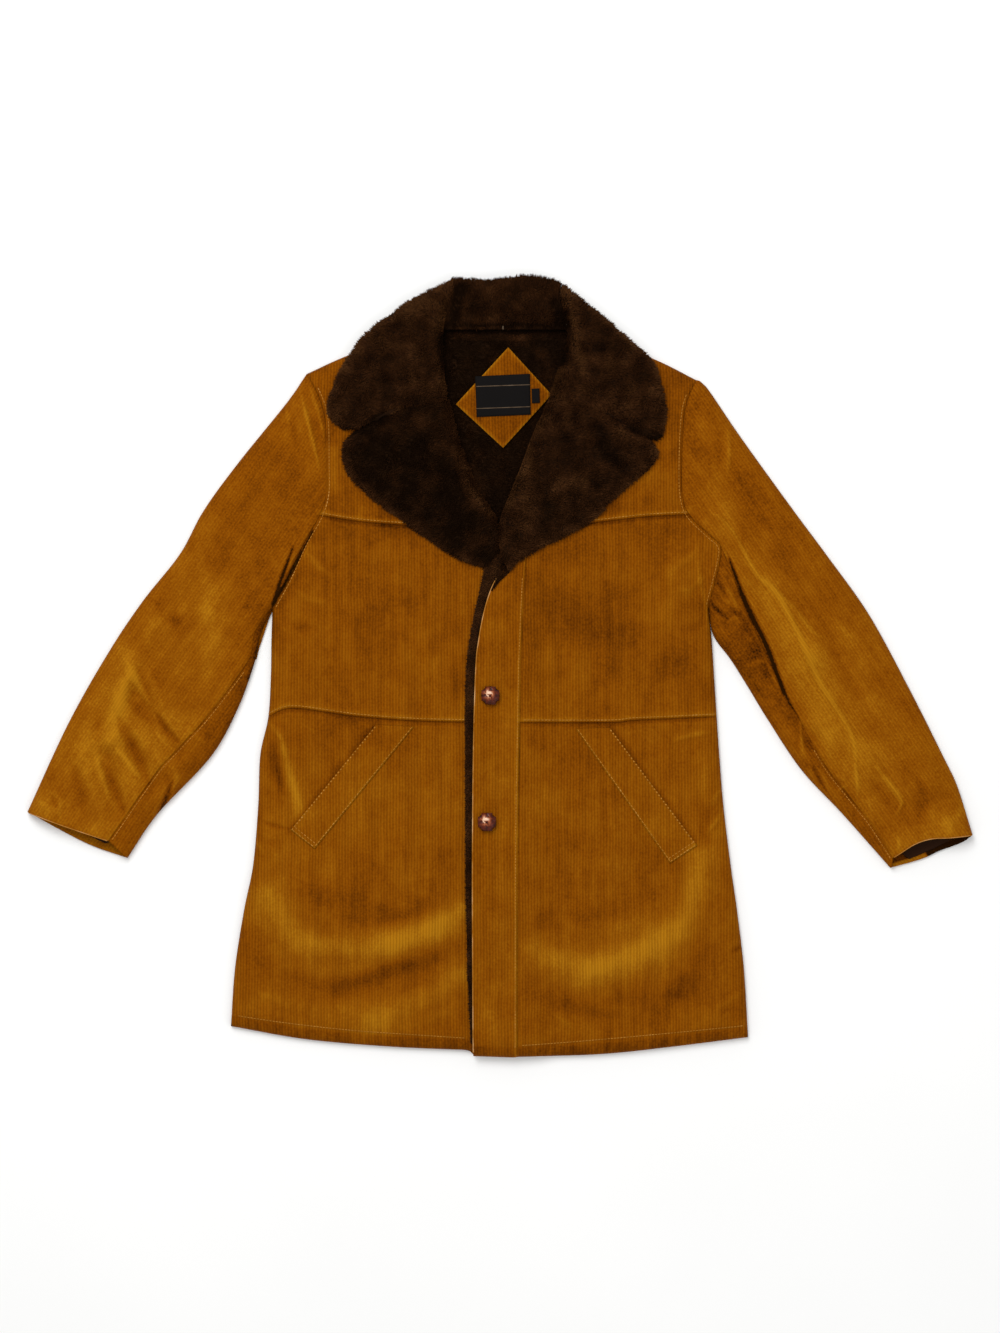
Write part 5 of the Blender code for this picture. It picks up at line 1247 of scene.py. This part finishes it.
# share of the radius and of the height, from the shank up over the core
buttonProfile = [(0.0, 0.0), (0.3, 0.0), (0.3, 0.22), (0.88, 0.28), (0.97, 0.46), (0.88, 0.68), (0.6, 0.86),
                 (0.28, 0.93), (0.0, 0.94)]
for which in ("upper", "lower"):
    x, y = buttonCut[which]
    radius, high = buttonCut["radius"] * mm, buttonCut["high"] * mm
    seat = float(clothHeight(np.array([[x, y]]), True)[0]) + buttonCut["seat"]
    centre = Vector((x, y, seat)) * mm
    bm = bmesh.new()
    verts = [bm.verts.new((r * radius, 0.0, h * high)) for r, h in buttonProfile]
    edges = [bm.edges.new(pair) for pair in zip(verts[:-1], verts[1:])]
    bmesh.ops.spin(bm, geom=verts + edges, cent=(0, 0, 0), axis=(0, 0, 1), angle=math.tau,
                   steps=buttonCut["steps"], use_merge=True)
    bmesh.ops.remove_doubles(bm, verts=bm.verts, dist=0.00001)
    crown = bm.verts.layers.float.new("buttonPaintedLight")
    for k in range(4):   # two strips each way, over and under
        across = -1.0 if k % 2 == 0 else 1.0
        overUnder = across * (1.0 if k < 2 else -1.0)
        strip = bmesh.ops.create_grid(bm, x_segments=14, y_segments=3, size=1.0)["verts"]
        for v in strip:
            along = v.co.x * buttonCut["stripLong"]
            aside = across * buttonCut["stripAside"] + v.co.y * buttonCut["stripHalf"]
            reach = min(1.0, math.hypot(along, aside))
            dome = buttonCut["brim"] + buttonCut["dome"] * math.sqrt(max(0.0, 1.0 - reach ** 2))
            weave = buttonCut["weave"] * math.cos(along * buttonCut["weaveTurns"]) * overUnder
            bulge = buttonCut["bulge"] * (1.0 - v.co.y ** 2)
            # painted shade towards each strip's edges
            v[crown] = 1.0 - buttonCut["stripEdgeShade"] * v.co.y ** 2
            px, py = (along, aside) if k < 2 else (-aside, along)
            v.co = Vector((px * radius, py * radius, (dome + weave + bulge) * high))
    bmesh.ops.recalc_face_normals(bm, faces=bm.faces)
    bmesh.ops.translate(bm, verts=bm.verts, vec=centre)
    mesh = bpy.data.meshes.new("button" + which.title())
    bm.to_mesh(mesh)
    bm.free()
    layer = mesh.attributes["buttonPaintedLight"]   # painted highlight on the crown
    for v in mesh.vertices:
        away = v.co - centre - Vector(buttonCut["highlightAt"]) * mm
        reach = away.to_2d().length / (buttonCut["highlightWide"] * mm)
        layer.data[v.index].value *= buttonCut["highlight"] * math.exp(-reach ** 2)
    mesh.materials.append(finish["button"])
    mesh.shade_smooth()
    piece = bpy.data.objects.new(mesh.name, mesh)
    bpy.context.scene.collection.objects.link(piece)
    settle(piece, "button_" + which)
print("trim done")


# sewing: short raised stitches along the seams, joined into one mesh for each side
def beside(curve, amount):
    way = np.gradient(curve, axis=0)
    way = way / np.linalg.norm(way, axis=1)[:, None]
    return curve + amount * np.stack([-way[:, 1], way[:, 0]], axis=1)


stitchLook = {"wide": 0.5, "high": 0.45, "first": 2.0, "last": 1.0, "crownShare": 0.6, "sunk": 0.2,
              "along": (0.0, 0.18, 0.82, 1.0)}


def stitches(name, lines, wide=stitchLook["wide"], high=stitchLook["high"], thread="thread"):
    verts, faces = [], []
    crown = stitchLook["crownShare"] * wide
    for curve, over, lift, pitch, long in lines:
        total = lengthOf(curve)
        starts = np.arange(stitchLook["first"], total - long - stitchLook["last"], pitch)
        shares = np.stack([starts + k * long for k in stitchLook["along"]], axis=1) / total
        xy = pointsAt(curve, shares)
        z = clothHeight(xy, over) + lift
        way = xy[:, 3] - xy[:, 0]
        way = way / np.linalg.norm(way, axis=1)[:, None]
        out = np.stack([-way[:, 1], way[:, 0]], axis=1)
        for k in range(len(starts)):
            first = len(verts)
            verts.append((*xy[k, 0], z[k, 0] - stitchLook["sunk"]))
            for m in (1, 2):
                for sx, sz in ((wide, 0.0), (crown, high), (-crown, high), (-wide, 0.0)):
                    verts.append((xy[k, m, 0] + out[k, 0] * sx, xy[k, m, 1] + out[k, 1] * sx, z[k, m] + sz))
            verts.append((*xy[k, 3], z[k, 3] - stitchLook["sunk"]))
            for q in range(4):
                n = (q + 1) % 4
                faces.append((first, first + 1 + n, first + 1 + q))
                faces.append((first + 1 + q, first + 1 + n, first + 5 + n, first + 5 + q))
                faces.append((first + 9, first + 5 + q, first + 5 + n))
    mesh = bpy.data.meshes.new(name)
    mesh.from_pydata((np.array(verts) * mm).tolist(), [], faces)
    mesh.materials.append(finish[thread])
    mesh.update()
    piece = bpy.data.objects.new(name, mesh)
    bpy.context.scene.collection.objects.link(piece)
    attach(piece, "root")
    return piece


hemLines = {
    "Left": [(-316, -418), (-253, -427), (-170, -436), (-40, -445)],
    "Right": [(24, -453), (77, -450), (180, -441), (294, -430)],
}
# lift off the cloth, pitch and length of a stitch
plain, fine, spots, close = (0.1, 4.2, 3.6), (0.1, 3.8, 3.5), (2.5, 4.6, 2.6), (2.2, 4.6, 3.6)
# how far each row runs from its seam or edge
seamGap = {"yoke": 3.4, "waist": 3.6, "armhole": 3.6, "sleeve": 2.2, "placket": 3.0, "mouth": 1.3,
           "sewnEdge": 1.8, "bar": 6.0}
sleeveSeamFrom = {"Left": 0.25, "Right": 0.62}   # above that the sleeve's fold hides it
spotSize = {"wide": 0.85, "high": 0.6}
seamLines = {}
for side, over, inward in (("Left", False, 1.0), ("Right", True, -1.0)):
    lines = [(beside(curves[seam + side], seamGap[seam] * inward), over, *plain)
             for seam in ("yoke", "waist")]
    lines += [(beside(curves["armhole" + side], seamGap["armhole"] * inward)[4:], over, *plain),
              (smoothCurve(hemLines[side]), over, *fine)]
    if over:
        lines.append((beside(curves["placketSeam"], seamGap["placket"] * inward)[2:-2], over, *fine))
    sleeveSeam = cut("seam" + side, sleeveSeamFrom[side], 1.0)
    lines.append((beside(sleeveSeam, seamGap["sleeve"] * inward)[1:], False, *plain))
    mouth, sewnEdge, _, foot = weltSides(side)
    mouthRow = (beside(mouth, seamGap["mouth"] * inward), over, *spots)
    stitches("weltStitching" + side, [mouthRow], spotSize["wide"], spotSize["high"])
    lines.append((beside(sewnEdge, -seamGap["sewnEdge"] * inward), over, *close))
    lines += [(beside(foot, seamGap[gap] * inward), over, *close) for gap in ("sewnEdge", "bar")]
    seamLines[side] = lines
for side, lines in seamLines.items():
    stitches("stitching" + side, lines)

# a loose tacking stitch on the collar's stand
tackLook = {"top": 17.6, "pitch": 6.0, "long": 5.0, "wide": 1.0, "high": 0.8}
tackLine = np.array([(3.6, 402.0), (3.6, 412.0)])
tackLift = tackLook["top"] - float(clothHeight(tackLine[:1])[0])
stitches("neckTack", [(tackLine, False, tackLift, tackLook["pitch"], tackLook["long"])], tackLook["wide"],
         tackLook["high"], "tack")
print("sewing done")

# floor, light and camera
studio = {"floorHalf": 4.0, "floorDrop": 0.0006, "world": 0.62,
          "keyAt": (-0.9, 1.5, 2.6), "key": 62.0, "keySize": 1.6,
          "fillAt": (1.4, -1.2, 2.6), "fill": 16.0, "fillSize": 2.6}
bm = bmesh.new()
bmesh.ops.create_grid(bm, x_segments=1, y_segments=1, size=studio["floorHalf"])
bmesh.ops.translate(bm, verts=bm.verts, vec=(0.0, 0.0, -studio["floorDrop"]))
mesh = bpy.data.meshes.new("studioFloor")
bm.to_mesh(mesh)
bm.free()
floorPaint, tree, shader = newMaterial("matt white studio paper")
grain = speckle(tree, addNode(tree, "ShaderNodeTexCoord").outputs["Object"], 3.0, 3.0)
tree.links.new(ramp(tree, [(0.0, "#f2f2f1"), (1.0, "#f7f7f6")], grain), shader.inputs["Base Color"])
shader.inputs["Roughness"].default_value = 0.9
mesh.materials.append(floorPaint)
floor = bpy.data.objects.new("floor", mesh)
bpy.context.scene.collection.objects.link(floor)

for name in ("key", "fill"):   # two big soft lights, aimed at the middle of the jacket
    light = bpy.data.lights.new(name, "AREA")
    light.energy = studio[name]
    light.size = studio[name + "Size"]
    lamp = bpy.data.objects.new(name, light)
    lamp.location = studio[name + "At"]
    lamp.rotation_euler = (-lamp.location).to_track_quat("-Z", "Y").to_euler()
    bpy.context.scene.collection.objects.link(lamp)
world = bpy.data.worlds.new("studioAir")
world.use_nodes = True
world.node_tree.nodes["Background"].inputs["Color"].default_value = (1.0, 1.0, 1.0, 1.0)
world.node_tree.nodes["Background"].inputs["Strength"].default_value = studio["world"]
bpy.context.scene.world = world
bpy.context.scene.view_settings.view_transform = "Standard"

shot = {"away": 4.0, "tilt": 89.0, "frameHigh": 1.6, "sensor": 36.0, "aimHigh": 0.01, "seesTo": 50.0}
tilt = math.radians(shot["tilt"])
camera = bpy.data.cameras.new("camera")
camera.sensor_fit = "VERTICAL"
camera.sensor_height = shot["sensor"]
camera.lens = shot["sensor"] * shot["away"] / shot["frameHigh"]
camera.clip_end = shot["seesTo"]
eye = bpy.data.objects.new("camera", camera)
eye.location = (0.0, -math.cos(tilt) * shot["away"], shot["aimHigh"] + math.sin(tilt) * shot["away"])
eye.rotation_euler = (math.pi / 2 - tilt, 0.0, 0.0)
bpy.context.scene.collection.objects.link(eye)
bpy.context.scene.camera = eye
